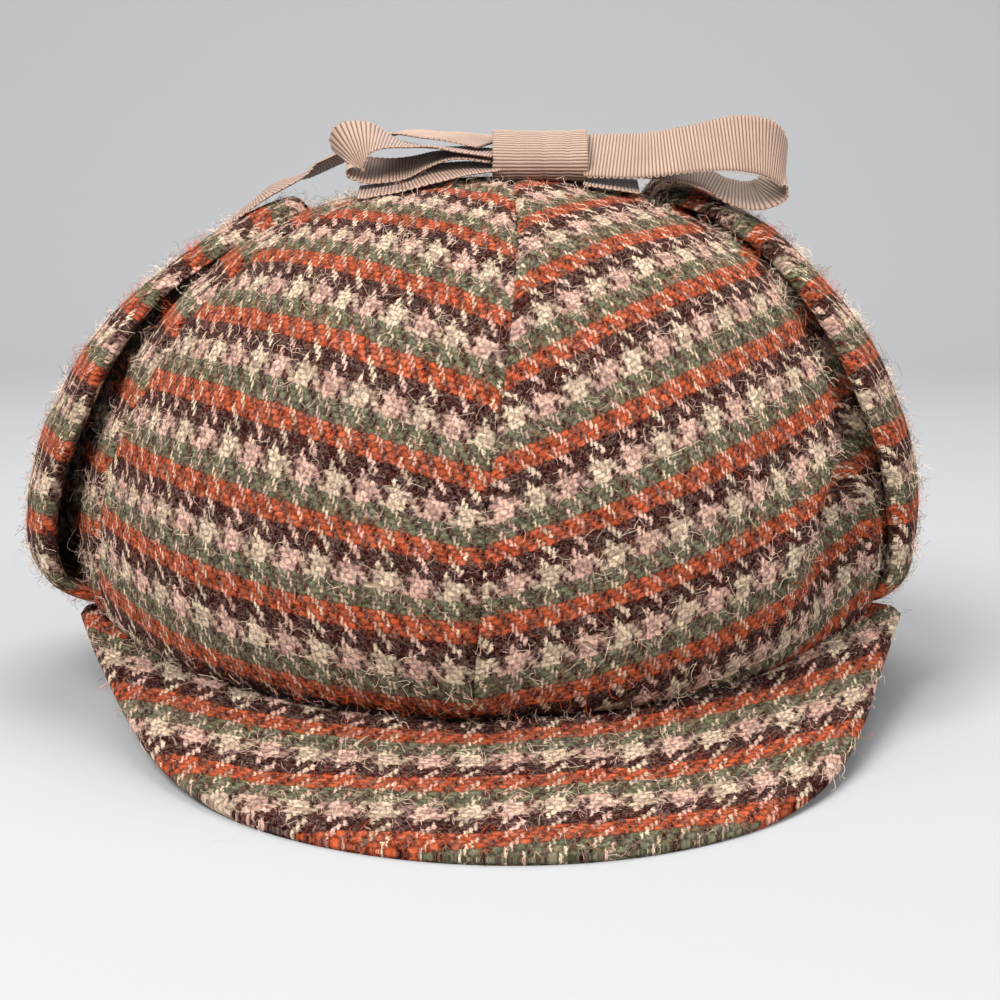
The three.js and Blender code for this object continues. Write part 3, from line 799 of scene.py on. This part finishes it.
def tweed_material(name):
    """Houndstooth tweed, brushed so that its nap blurs it."""
    look = bpy.context.scene.hat_tweed
    s = Shader(name)
    cloth = s.cloth(WEAVE_MAP)
    drift = s.shake(cloth, 0.085, (2.0, 1.5, 0))
    fray = s.shake(cloth, 1.15, (1.5, 1.7, 0), 3.0, 0.62)
    frizz = s.shake(cloth, 3.4, (1.5, 1.5, 0), 3.0, 0.75)
    moved = cloth + drift + fray + frizz
    warp_shows, yarn_height, yarn_tint = tweed_weave(s, moved, look)

    flecks = s.noise(cloth + (31.0, 7.0, 3.0), 1.9, 3.0, 0.7)
    heather = s.ramp(flecks, (
        (0.30, tint(look.dark, 1.2)), (0.42, grey(0.5)), (0.58, grey(0.5)), (0.72, tint(look.cream, 0.9)),
    ))
    yarn_tint = s.mix(0.35, yarn_tint, heather, "OVERLAY")
    strand_up = s.noise(moved * (8.0, 1.3, 1), 1.0, 2.0, 0.6)
    strand_along = s.noise(moved * (1.3, 8.0, 1), 1.0, 2.0, 0.6)
    strand = s.between(warp_shows, strand_along, strand_up)
    strands = s.ramp(strand, ((0.30, tint(look.dark, 2.5)), (0.47, grey(0.95)), (0.62, grey(1.25))))
    yarn_tint = s.multiplied(0.75, yarn_tint, strands)

    bent = cloth + s.noise(cloth, 0.42, output="Color") * (6.0, 6.0, 0)
    hair_up = s.noise(bent * (7.0, 1.0, 1), 0.9, 3.0, 0.6)
    hair_along = s.noise(bent * (1.0, 7.0, 1), 0.9, 3.0, 0.6)
    hair = hair_up.math("MAXIMUM", hair_along)
    hair_dark = s.choose(hair_up.math("MINIMUM", hair_along), 0.44, 0.30)
    shaded = s.mix(hair_dark * 0.5, yarn_tint, tint(look.dark, 0.7))
    lit = s.mix(0.5, yarn_tint, s.mix(0.55, yarn_tint, look.pink), "SCREEN")
    haired = s.mix(s.choose(hair, 0.56, 0.74) * 0.35, shaded, lit)

    loose = loose_fibres(s, cloth)
    hues = s.ramp(s.noise(cloth, 0.31, 1.0), (
        (0.30, look.dark), (0.40, look.rust), (0.47, look.cream), (0.56, look.pink),
        (0.66, tint(look.green, 1.1)),
    ))
    own = s.mix(0.55, hues, s.mix(0.5, yarn_tint, look.pink))
    # Painted shade: the cloth darkens towards the dark yarn where the yarns dip low, between one yarn and
    # the next.
    painted_hollow_shade = s.mix(s.choose(yarn_height, 0.0, 0.7), tint(look.dark, 0.5), grey(1))
    base = s.multiplied(0.8, s.mix(loose * 0.34, haired, own), painted_hollow_shade)
    fuzz = s.noise(bent, 2.6, 3.0, 0.65)
    height = yarn_height * 0.7 + hair * 0.9 + fuzz * 0.6 + loose * 0.35 + strand * 0.45
    s.bump(0.9, look.yarn_relief, height)
    return s.finish(base, s.choose(hair, 0.2, 0.8) * 0.12 + 0.84, Specular_IOR_Level=0.05)


def plain_material(name, base, roughness, gloss, grain, strength, depth, detail=3.0):
    """One colour with a fine grain."""
    s = Shader(name)
    place = s.value("ShaderNodeTexCoord", output="Object")
    s.bump(strength, depth, s.noise(place, grain, detail))
    return s.finish((*base[:3], 1), roughness, Specular_IOR_Level=gloss)


def fibre_material(name, base):
    return plain_material(name, base, 0.8, 0.1, 2600.0, 0.2, 0.00002, 2.0)


def ribbon_material(name):
    """Grosgrain: ribs across the ribbon, with painted shade in the fine grooves between them and a painted
    highlight on their tops.
    """
    look = bpy.context.scene.hat_ribbon
    s = Shader(name)
    cloth = s.cloth(RIB_MAP)
    along, across, _ = s.parts(cloth + s.shake(cloth, 0.6, (0.12, 0.1, 0)))
    rib = (along * (2 * math.pi / (look.rib_pitch / MM))).math("COSINE") * 0.5 + 0.5
    lines = (across * (math.pi / 0.19)).math("SINE").math("ABSOLUTE")
    # Painted light across each rib: painted shade in the groove, darker flanks and a painted highlight on
    # the top.
    ribs = s.ramp(rib, (
        (0.02, look.groove_shade), (0.32, tint(look.rib, 0.72)), (0.62, look.rib), (1.0, tint(look.rib, 1.07)),
    ))
    thread = s.noise(cloth * (2.0, 9.0, 1), 1.2, 3.0, 0.6)
    worn = s.mix(s.choose(thread, 0.35, 0.75), tint(look.rib, 0.80), grey(1))
    patches = s.choose(s.noise(cloth, 0.12), 0.4, 0.7)
    aged = s.mix(patches * 0.18, s.multiplied(0.5, ribs, worn), look.groove_shade)
    s.bump(0.6, 0.00012, rib * 0.5 + lines * (rib * 0.28) + thread * 0.2)
    return s.finish(
        aged, thread * 0.2 + 0.48, Specular_IOR_Level=0.35, Sheen_Weight=0.2, Sheen_Roughness=0.4,
    )


def material(name, make, *args):
    """The material of that name, made the first time that it is asked for."""
    return bpy.data.materials.get(name) or make(name, *args)


# ---- Geometry Nodes ----


class Growth(Nodes):
    """A Geometry Nodes tree that turns a mesh into many small things of one material."""

    def __init__(self, name, numbers, counts=()):
        super().__init__(bpy.data.node_groups.new(name, "GeometryNodeTree"))
        sockets = [("Geometry", "NodeSocketGeometry"), ("Material", "NodeSocketMaterial")]
        sockets += [(label, "NodeSocketFloat") for label in numbers]
        sockets += [(label, "NodeSocketInt") for label in counts]
        for label, kind in sockets:
            self.tree.interface.new_socket(label, in_out="INPUT", socket_type=kind)
        self.tree.interface.new_socket("Geometry", in_out="OUTPUT", socket_type="NodeSocketGeometry")
        self.start = self.node("NodeGroupInput")
        self.end = self.node("NodeGroupOutput")

    def given(self, label):
        return Value(self, self.start.outputs[label])

    def named(self, label):
        """A vector that the source mesh holds at each point."""
        return self.value("GeometryNodeInputNamedAttribute", {"Name": label}, data_type="FLOAT_VECTOR")

    def tube(self, curve, sides, thickness):
        radius = self.given(thickness) / 2.0
        ring = self.value(
            "GeometryNodeCurvePrimitiveCircle", {"Resolution": sides, "Radius": radius}, mode="RADIUS",
        )
        values = {"Curve": curve, "Profile Curve": ring, "Fill Caps": True}
        return self.value("GeometryNodeCurveToMesh", values)

    def finish(self, geometry):
        whole = self.value("GeometryNodeRealizeInstances", {0: geometry})
        values = {"Geometry": whole, "Material": self.given("Material")}
        self.link(self.value("GeometryNodeSetMaterial", values), self.end.inputs[0])
        return self.tree


# No fibre goes lower than this, in metres.
LOWEST_FIBRE = 0.0003


def fibre_tree():
    """Wool fibres: arcs that lie on a surface, curled by noise and swept into thin tubes."""
    g = Growth(
        "wool_fibres",
        ("Density", "Length", "Lift", "Curl", "Curl Scale", "Thickness", "Band From", "Band To"),
        ("Seed", "Steps"),
    )
    seed = g.given("Seed")
    scattered = g.node("GeometryNodeDistributePointsOnFaces", {
        "Mesh": g.given("Geometry"), "Density": g.given("Density"), "Seed": seed,
    }, distribute_method="RANDOM")
    points, rotations = (Value(g, scattered.outputs[name]) for name in ("Points", "Rotation"))
    band = (g.parts(g.named(WEAVE_MAP))[1] / (BAND_REPEAT * MM) + 4.0).math("FRACT")
    below, above = (
        g.value("FunctionNodeCompare", {0: band, 1: g.given(label)}, operation=operation)
        for label, operation in (("Band From", "LESS_THAN"), ("Band To", "GREATER_THAN"))
    )
    outside = g.value("FunctionNodeBooleanMath", {0: below, 1: above}, operation="OR")
    kept = g.value(
        "GeometryNodeDeleteGeometry", {"Geometry": points, "Selection": outside}, domain="POINT",
    )

    line = g.value("GeometryNodeCurvePrimitiveLine", {"End": (1, 0, 0)})
    line = g.value("GeometryNodeResampleCurve", {"Curve": line, "Count": g.given("Steps")})
    share = g.value("GeometryNodeSplineParameter")
    arc = g.joined(share * g.given("Length"), z=(share * 2.5).math("SINE") * g.given("Lift"))
    template = g.value("GeometryNodeSetPosition", {"Geometry": line, "Position": arc})
    spin = g.value("FunctionNodeRandomValue", {
        0: (-0.15, -0.35, 0.0), 1: (0.15, 0.25, 2 * math.pi), "Seed": seed,
    }, data_type="FLOAT_VECTOR")
    turn = g.value("FunctionNodeEulerToRotation", {0: spin})
    lie = g.value("FunctionNodeRotateRotation", {0: rotations, 1: turn}, rotation_space="LOCAL")
    size = g.value("FunctionNodeRandomValue", {2: 0.55, 3: 1.35, "Seed": seed}, 1, data_type="FLOAT")
    placed = g.value("GeometryNodeInstanceOnPoints", {
        "Points": kept, "Instance": template, "Rotation": lie, "Scale": size,
    })
    loose = g.value("GeometryNodeRealizeInstances", {0: placed})

    where = g.value("GeometryNodeInputPosition")
    values = {"Vector": where, "Scale": g.given("Curl Scale"), "Detail": 1.0}
    noise = g.value("ShaderNodeTexNoise", values, "Color", noise_dimensions="3D")
    values = {0: noise - (0.5, 0.5, 0.5), "Scale": share * g.given("Curl")}
    offset = g.value("ShaderNodeVectorMath", values, operation="SCALE")
    curled = g.value("GeometryNodeSetPosition", {"Geometry": loose, "Offset": offset})
    x, y, z = g.parts(g.value("GeometryNodeInputPosition"))
    over_floor = g.joined(x, y, z.math("MAXIMUM", LOWEST_FIBRE))
    curled = g.value("GeometryNodeSetPosition", {"Geometry": curled, "Position": over_floor})
    return g.finish(g.tube(curled, 3, "Thickness"))


def picot_tree():
    """Picots: small loops of thread set along a ribbon's edges."""
    g = Growth("ribbon_picots", ("Loop Radius", "Thread"))
    points = g.value("GeometryNodeMeshToPoints", {"Mesh": g.given("Geometry")})
    arc = g.value("GeometryNodeCurveArc", {
        "Resolution": 6, "Radius": g.given("Loop Radius"), "Start Angle": 0.0, "Sweep Angle": math.pi,
    })
    first = g.value("FunctionNodeAlignRotationToVector", {"Vector": g.named("along")}, axis="X")
    values = {"Rotation": first, "Vector": g.named("outward")}
    second = g.value("FunctionNodeAlignRotationToVector", values, axis="Y", pivot_axis="X")
    return g.finish(g.value("GeometryNodeInstanceOnPoints", {
        "Points": points, "Instance": g.tube(arc, 4, "Thread"), "Rotation": second,
    }))


def source_object(name, points, faces, vectors):
    """A mesh to grow from, with named vectors at its points."""
    mesh = bpy.data.meshes.new(name)
    mesh.from_pydata(((points + (CENTRE_SHIFT, 0, 0)) * MM).tolist(), [], faces)
    for key, values in vectors.items():
        spot = mesh.attributes.new(key, "FLOAT_VECTOR", "POINT")
        spot.data.foreach_set("vector", np.ascontiguousarray(values).ravel())
    return add_object(name, mesh)


def grown(name, source, tree, values):
    """Runs a tree on a source object and returns the plain mesh that it makes."""
    modifier = source.modifiers.new("growth", "NODES")
    modifier.node_group = tree
    for item in tree.interface.items_tree:
        if item.item_type == "SOCKET" and item.in_out == "INPUT" and item.name in values:
            modifier[item.identifier] = values[item.name]
    source.update_tag()
    graph = bpy.context.evaluated_depsgraph_get()
    mesh = bpy.data.meshes.new_from_object(source.evaluated_get(graph), depsgraph=graph)
    source.modifiers.remove(modifier)
    mesh.name = name
    return add_object(name, mesh)


def finish_piece(piece, slot, *nodes):
    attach(piece, "root")
    if nodes:
        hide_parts(*nodes)
    return piece


# The outer faces that the fibres grow from, kept until the fibres are made.
BRUSHED = []
# A height inside the hat, which every outer face looks away from.
BRUSHED_MIDDLE = 30


def brushed_surface():
    """One open mesh of every outer cloth face, with the weave's place on it."""
    points, faces, uvs, start = [], [], [], 0
    for grid, uv in BRUSHED:
        quads = grid_quads(np.arange(grid[..., 0].size).reshape(grid.shape[:2]))
        corners = grid.reshape(-1, 3)
        a, b, c = (corners[quads[:, k]] for k in (0, 1, 3))
        facing = np.sum(np.cross(b - a, c - a) * (a - (0, 0, BRUSHED_MIDDLE)), axis=1).sum()
        if facing < 0:
            quads = quads[:, ::-1]
        points.append(corners)
        faces.append(quads + start)
        uvs.append(uv.reshape(-1, 2))
        start += len(corners)
    flat = np.concatenate(uvs)
    places = {WEAVE_MAP: np.column_stack([flat, np.zeros(len(flat))])}
    quads = np.concatenate(faces).tolist()
    return source_object("brushed_surface", np.concatenate(points), quads, places)


# ---- Ribbon ----


def ribbon_shape(stations, settings):
    """A ribbon's middle line, the ways along it, across it and out of its face, and its run in mm."""
    path = np.asarray(stations)[:, :3]
    turns = np.asarray(stations)[:, 3:]
    fine = np.linspace(0, 1, 3000)
    lengths = lengths_along(path_points(path, fine))
    pitch = settings.rib_pitch / MM
    steps = int(lengths[-1] / pitch * POINTS_PER_RIB)
    runs = np.linspace(0, lengths[-1], steps + 1)
    shares = np.interp(runs, lengths, fine)
    middle = path_points(path, shares)
    along = unit(np.gradient(middle, axis=0))
    across = path_points(turns, shares)
    across = unit(across - along * np.sum(across * along, axis=1, keepdims=True))
    return middle, along, across, np.cross(along, across), runs


def ribbon_cloth(name, stations, finish, seed):
    """A grosgrain ribbon with its ribs in the mesh, and the points where its picots stand."""
    settings = bpy.context.scene.hat_ribbon
    middle, along, across, face, runs = ribbon_shape(stations, settings)
    places = np.array([-1, -0.96, -0.82, -0.3, 0.3, 0.82, 0.96, 1])
    pitch = settings.rib_pitch / MM
    rib = np.cos(2 * math.pi * runs / pitch) * settings.rib_relief / MM / 2
    flat = middle[:, None] + across[:, None] * places[None, :, None] * RIBBON_WIDTH / 2
    wave = 0.10 * ripple(flat, 17, seed)
    edge = round_edge((1 - np.abs(places)) * RIBBON_WIDTH / 2, 0.5)
    half = (RIBBON_THICKNESS / 2 + rib[:, None]) * edge[None, :]
    outer = flat + face[:, None] * (half + wave)[..., None]
    inner = flat - face[:, None] * (half - wave)[..., None]
    uv = np.stack(np.broadcast_arrays(runs[:, None], places[None, :] * RIBBON_WIDTH / 2), axis=-1) * MM
    made = wall(name, outer, inner, uv, uv, finish, RIB_MAP)
    stops = np.arange(PICOT_GAP, runs[-1] - PICOT_GAP / 2, PICOT_GAP)
    edges = []
    for side in (-1, 1):
        lines = (middle + side * across * RIBBON_WIDTH / 2, along, side * across)
        edges.append([[np.interp(stops, runs, line[:, k]) for k in range(3)] for line in lines])
    # Rows for the two edges' points, then columns for place, way along and way out, then x, y and z.
    return made, np.concatenate(np.moveaxis(np.array(edges), -1, 1)), runs[-1]


def knot_cloth(finish):
    """The ribbon that is wrapped once round the middle of the bow, with its ribs along the bow."""
    settings = bpy.context.scene.hat_ribbon
    pitch = settings.rib_pitch / MM * 1.1
    fine = np.linspace(0, 2 * math.pi, 2400)
    long = KNOT_LONG * np.sign(np.cos(fine)) * np.abs(np.cos(fine)) ** KNOT_ROUNDNESS
    short = KNOT_SHORT * np.sign(np.sin(fine)) * np.abs(np.sin(fine)) ** KNOT_ROUNDNESS
    run = np.concatenate([[0], np.cumsum(np.hypot(np.diff(long), np.diff(short)))])
    count = round(run[-1] / pitch) * POINTS_PER_RIB
    stops = np.linspace(0, run[-1], count, endpoint=False)
    ring_long = np.interp(stops, run, long)
    ring_short = np.interp(stops, run, short)
    normal_long = ring_long / KNOT_LONG**2
    normal_short = ring_short / KNOT_SHORT**2
    size = np.hypot(normal_long, normal_short)
    normal_long, normal_short = normal_long / size, normal_short / size
    ribs = np.arange(count) / POINTS_PER_RIB
    rib = np.cos(2 * math.pi * ribs) * settings.rib_relief / MM / 2
    lean = math.radians(KNOT_LEAN)
    half = KNOT_LENGTH / 2
    # Columns: place along the bow, how far the surface stands out.
    end = [(half - 0.3, 0.0), (half, -0.2), (half, -0.75), (half - 0.25, -1.2), (half - 1.6, -1.5)]
    section = [(-x, inset) for x, inset in end[::-1]]
    section += [(x, 0.0) for x in np.linspace(1 - half, half - 1, 40)] + end
    rings, uvs = [], []
    for x, inset in section:
        crease = sum(depth * bell(x - place, width) for place, depth, width in KNOT_CREASES)
        waist = 0.25 * (abs(x) / half) ** 3
        offset = inset - crease + waist + rib
        a = ring_long + normal_long * offset
        b = ring_short + normal_short * offset
        rings.append(np.stack([
            np.full(count, KNOT_MIDDLE[0] + x),
            KNOT_MIDDLE[1] + a * math.cos(lean) - b * math.sin(lean),
            KNOT_MIDDLE[2] + a * math.sin(lean) + b * math.cos(lean),
        ], axis=-1))
        uvs.append(np.stack([ribs * settings.rib_pitch / MM, np.full(count, x)], axis=-1))
    rows = len(rings)
    index = np.arange(rows * count).reshape(rows, count)
    after = np.roll(index, -1, axis=1)
    quads = grid_quads(np.hstack([index, index[:, :1]])).tolist()
    points = np.concatenate(rings)
    places = np.concatenate(uvs)
    for ring, order in ((0, 1), (rows - 1, -1)):
        hub = len(points)
        points = np.vstack([points, points[index[ring]].mean(axis=0)])
        places = np.vstack([places, places[index[ring]].mean(axis=0)])
        quads += [
            [hub, after[ring][k], index[ring][k]][::order] for k in range(count)
        ]
    return make_object("ribbon_knot", points, quads, places * MM, finish, RIB_MAP)


# ---- Operators ----


def tweed():
    return material("tweed_weave", tweed_material)


def grosgrain():
    return material("grosgrain_ribs", ribbon_material)


class HAT_OT_crown(bpy.types.Operator):
    """Makes the six cloth panels of the crown"""

    bl_idname = "hat.crown"
    bl_label = "Crown"

    def execute(self, context):
        for order, (name, *_) in enumerate(PANELS):
            piece, surface = crown_panel(order, tweed())
            BRUSHED.append(surface)
            finish_piece(piece, "tweed", f"crown_panel_{name}")
        return {"FINISHED"}


class HAT_OT_peaks(bpy.types.Operator):
    """Makes the front and rear peaks"""

    bl_idname = "hat.peaks"
    bl_label = "Peaks"

    def execute(self, context):
        for name, skew, back in (("front_peak", FRONT_PEAK_SKEW, False), ("rear_peak", 0, True)):
            piece, surface = peak_cloth(f"{name}_cloth", skew, back, tweed())
            BRUSHED.append(surface)
            finish_piece(piece, "tweed", name)
        return {"FINISHED"}


class HAT_OT_flaps(bpy.types.Operator):
    """Makes the two ear flaps, tied up against the crown"""

    bl_idname = "hat.flaps"
    bl_label = "Ear flaps"

    def execute(self, context):
        for name, *shape, rests in FLAPS:
            piece, surface = flap_cloth(f"{name}_cloth", *shape, tweed())
            BRUSHED.append(surface)
            finish_piece(piece, "tweed", name)
        return {"FINISHED"}


class HAT_OT_ribbons(bpy.types.Operator):
    """Makes the bow's loops, its tail and the ties, with the picots along their edges"""

    bl_idname = "hat.ribbons"
    bl_label = "Ribbons"

    def execute(self, context):
        thread = material("picot_thread", fibre_material, tint(context.scene.hat_ribbon.rib, 0.95))
        tree = picot_tree()
        for seed, (name, node, stations, rests) in enumerate((
            ("ribbon_right_loop", "bow_right_loop", RIGHT_LOOP, "right_flap_cloth"),
            ("ribbon_left_loop", "bow_left_loop", LEFT_LOOP, "panel_cloth_front_left"),
            ("ribbon_left_tie", "left_tie", LEFT_TIE, "left_flap_cloth"),
            ("ribbon_right_tie", "right_tie", RIGHT_TIE, "panel_cloth_front_right"),
            ("ribbon_tail", "bow_tail", TAIL, "panel_cloth_front_left"),
        )):
            piece, edges, length = ribbon_cloth(name, stations, grosgrain(), 60 + seed)
            ways = {"along": edges[:, 1], "outward": edges[:, 2]}
            source = source_object("picot_points", edges[:, 0], [], ways)
            picots = grown(f"{name}_picots", source, tree, {
                "Loop Radius": 0.00042, "Thread": 0.00026, "Material": thread,
            })
            bpy.data.objects.remove(source)
            finish_piece(piece, "ribbon", node)
            finish_piece(picots, "ribbon")
            length * MM
        return {"FINISHED"}


class HAT_OT_knot(bpy.types.Operator):
    """Makes the knot in the middle of the bow"""

    bl_idname = "hat.knot"
    bl_label = "Knot"

    def execute(self, context):
        finish_piece(knot_cloth(grosgrain()), "ribbon", "bow_knot")
        return {"FINISHED"}


class HAT_OT_fibres(bpy.types.Operator):
    """Grows the nap and the stray fibres of the wool on every outer cloth face"""

    bl_idname = "hat.fibres"
    bl_label = "Wool fibres"

    def execute(self, context):
        if not BRUSHED:
            raise RuntimeError("make the crown, the peaks and the flaps before their fibres")
        look, wool = context.scene.hat_tweed, context.scene.hat_fibres
        source = brushed_surface()
        tree = fibre_tree()
        nap, stray = (1.0, 0.0110, 520.0, 1.0, 5), (2.6, 0.018, 190.0, 0.6, 10)
        # Columns: name, colour, density, band from, band to, lift, then the kind's length, curl,
        # scale of its curls, thickness and steps.
        for order, (name, base, density, low, high, lift, kind) in enumerate((
            ("rust", look.rust, 1.0, -0.06, 0.30, 0.0004, nap),
            ("green", look.green, 0.9, 0.20, 0.56, 0.0004, nap),
            ("cream", look.cream, 0.8, 0.44, 0.84, 0.0005, nap),
            ("pink", look.pink, 0.4, 0.30, 0.96, 0.0005, nap),
            ("dark", look.dark, 0.8, 0.70, 1.04, 0.0004, nap),
            ("stray", tint(look.pink, 0.6), 0.05, -0.1, 1.1, 0.0014, stray),
        )):
            length, curl, curl_scale, thick, steps = kind
            finish = material(f"wool_{name}", fibre_material, base)
            piece = grown(f"wool_fibres_{name}", source, tree, {
                "Density": wool.count_per_area * density, "Seed": wool.seed + order,
                "Length": wool.length * length, "Lift": lift, "Curl": curl,
                "Curl Scale": curl_scale, "Thickness": wool.thickness * thick, "Steps": steps,
                "Band From": low, "Band To": high, "Material": finish,
            })
            finish_piece(piece, "tweed")
        bpy.data.objects.remove(source)
        return {"FINISHED"}


class HAT_OT_stage(bpy.types.Operator):
    """Sets out the floor, the backdrop, the lights and the camera"""

    bl_idname = "hat.stage"
    bl_label = "Stage"

    def execute(self, context):
        settings = context.scene.hat_stage
        paper = plain_material("stage_paper", settings.floor, 0.9, 0.2, 60.0, 0.03, 0.0005)
        turns = np.radians(np.linspace(0, 90, BACKDROP_STEPS + 1))
        rows = [(-FLOOR_FRONT, 0.0)]
        rows += [
            (FLOOR_BACK + BACKDROP_CURVE * math.sin(turn), BACKDROP_CURVE * (1 - math.cos(turn)))
            for turn in turns
        ]
        rows.append((FLOOR_BACK + BACKDROP_CURVE, BACKDROP_TOP))
        corners = [(x, y, z) for y, z in rows for x in (-FLOOR_HALF_WIDTH, FLOOR_HALF_WIDTH)]
        faces = [(2 * k, 2 * k + 1, 2 * k + 3, 2 * k + 2) for k in range(len(rows) - 1)]
        mesh = bpy.data.meshes.new("stage_floor")
        mesh.from_pydata(corners, [], faces)
        mesh.materials.append(paper)
        mesh.polygons.foreach_set("use_smooth", [True] * len(faces))
        floor = add_object("stage_floor", mesh)

        for name, place, share, size in LIGHTS:
            lamp = bpy.data.lights.new(name, "AREA")
            lamp.energy = settings.key_power * share
            lamp.size = size
            lamp.color = (1.0, 0.985, 0.965)
            holder = add_object(name, lamp)
            holder.location = place
            aim = Vector(LIT_POINT) - Vector(place)
            holder.rotation_euler = aim.to_track_quat("-Z", "Y").to_euler()
        world = bpy.data.worlds.new("stage_light")
        world.use_nodes = True
        sky = world.node_tree.nodes["Background"]
        sky.inputs[0].default_value = (0.95, 0.97, 1.0, 1)
        sky.inputs[1].default_value = settings.world
        context.scene.world = world
        context.scene.view_settings.view_transform = "Standard"

        lens = bpy.data.cameras.new("stage_camera")
        lens.sensor_width = 36
        lens.lens = CAMERA_LENS
        camera = add_object("stage_camera", lens)
        tilt = math.radians(CAMERA_TILT)
        target = Vector(CAMERA_TARGET)
        away = Vector((0, -CAMERA_DISTANCE * math.cos(tilt), CAMERA_DISTANCE * math.sin(tilt)))
        camera.location = target + away
        camera.rotation_euler = (-away).to_track_quat("-Z", "Y").to_euler()
        context.scene.camera = camera
        return {"FINISHED"}


class HAT_PT_sidebar(bpy.types.Panel):
    """Lists the steps that make the hat, with the sizes and colours that they use"""

    bl_idname = "HAT_PT_sidebar"
    bl_label = "Deerstalker hat"
    bl_space_type = "VIEW_3D"
    bl_region_type = "UI"
    bl_category = "Hat"

    def draw(self, context):
        for group in (context.scene.hat_tweed, context.scene.hat_fibres, context.scene.hat_ribbon,
                      context.scene.hat_stage):
            box = self.layout.box()
            for key in group.bl_rna.properties.keys():
                if key not in ("rna_type", "name"):
                    box.prop(group, key)
        for step in STEPS:
            self.layout.operator(step.bl_idname)


SETTINGS = (
    ("hat_tweed", TweedSettings),
    ("hat_fibres", FibreSettings),
    ("hat_ribbon", RibbonSettings),
    ("hat_stage", StageSettings),
)
STEPS = (
    HAT_OT_crown, HAT_OT_peaks, HAT_OT_flaps, HAT_OT_ribbons, HAT_OT_knot, HAT_OT_fibres, HAT_OT_stage,
)


def register():
    for _, group in SETTINGS:
        bpy.utils.register_class(group)
    for name, group in SETTINGS:
        setattr(bpy.types.Scene, name, PointerProperty(type=group))
    for step in (*STEPS, HAT_PT_sidebar):
        bpy.utils.register_class(step)


def unregister():
    for step in (HAT_PT_sidebar, *reversed(STEPS)):
        bpy.utils.unregister_class(step)
    for name, group in reversed(SETTINGS):
        delattr(bpy.types.Scene, name)
        bpy.utils.unregister_class(group)


def main():
    register()
    bpy.ops.hat.crown()
    bpy.ops.hat.peaks()
    bpy.ops.hat.flaps()
    bpy.ops.hat.ribbons()
    bpy.ops.hat.knot()
    bpy.ops.hat.fibres()
    bpy.ops.hat.stage()


if __name__ == "__main__":
    main()
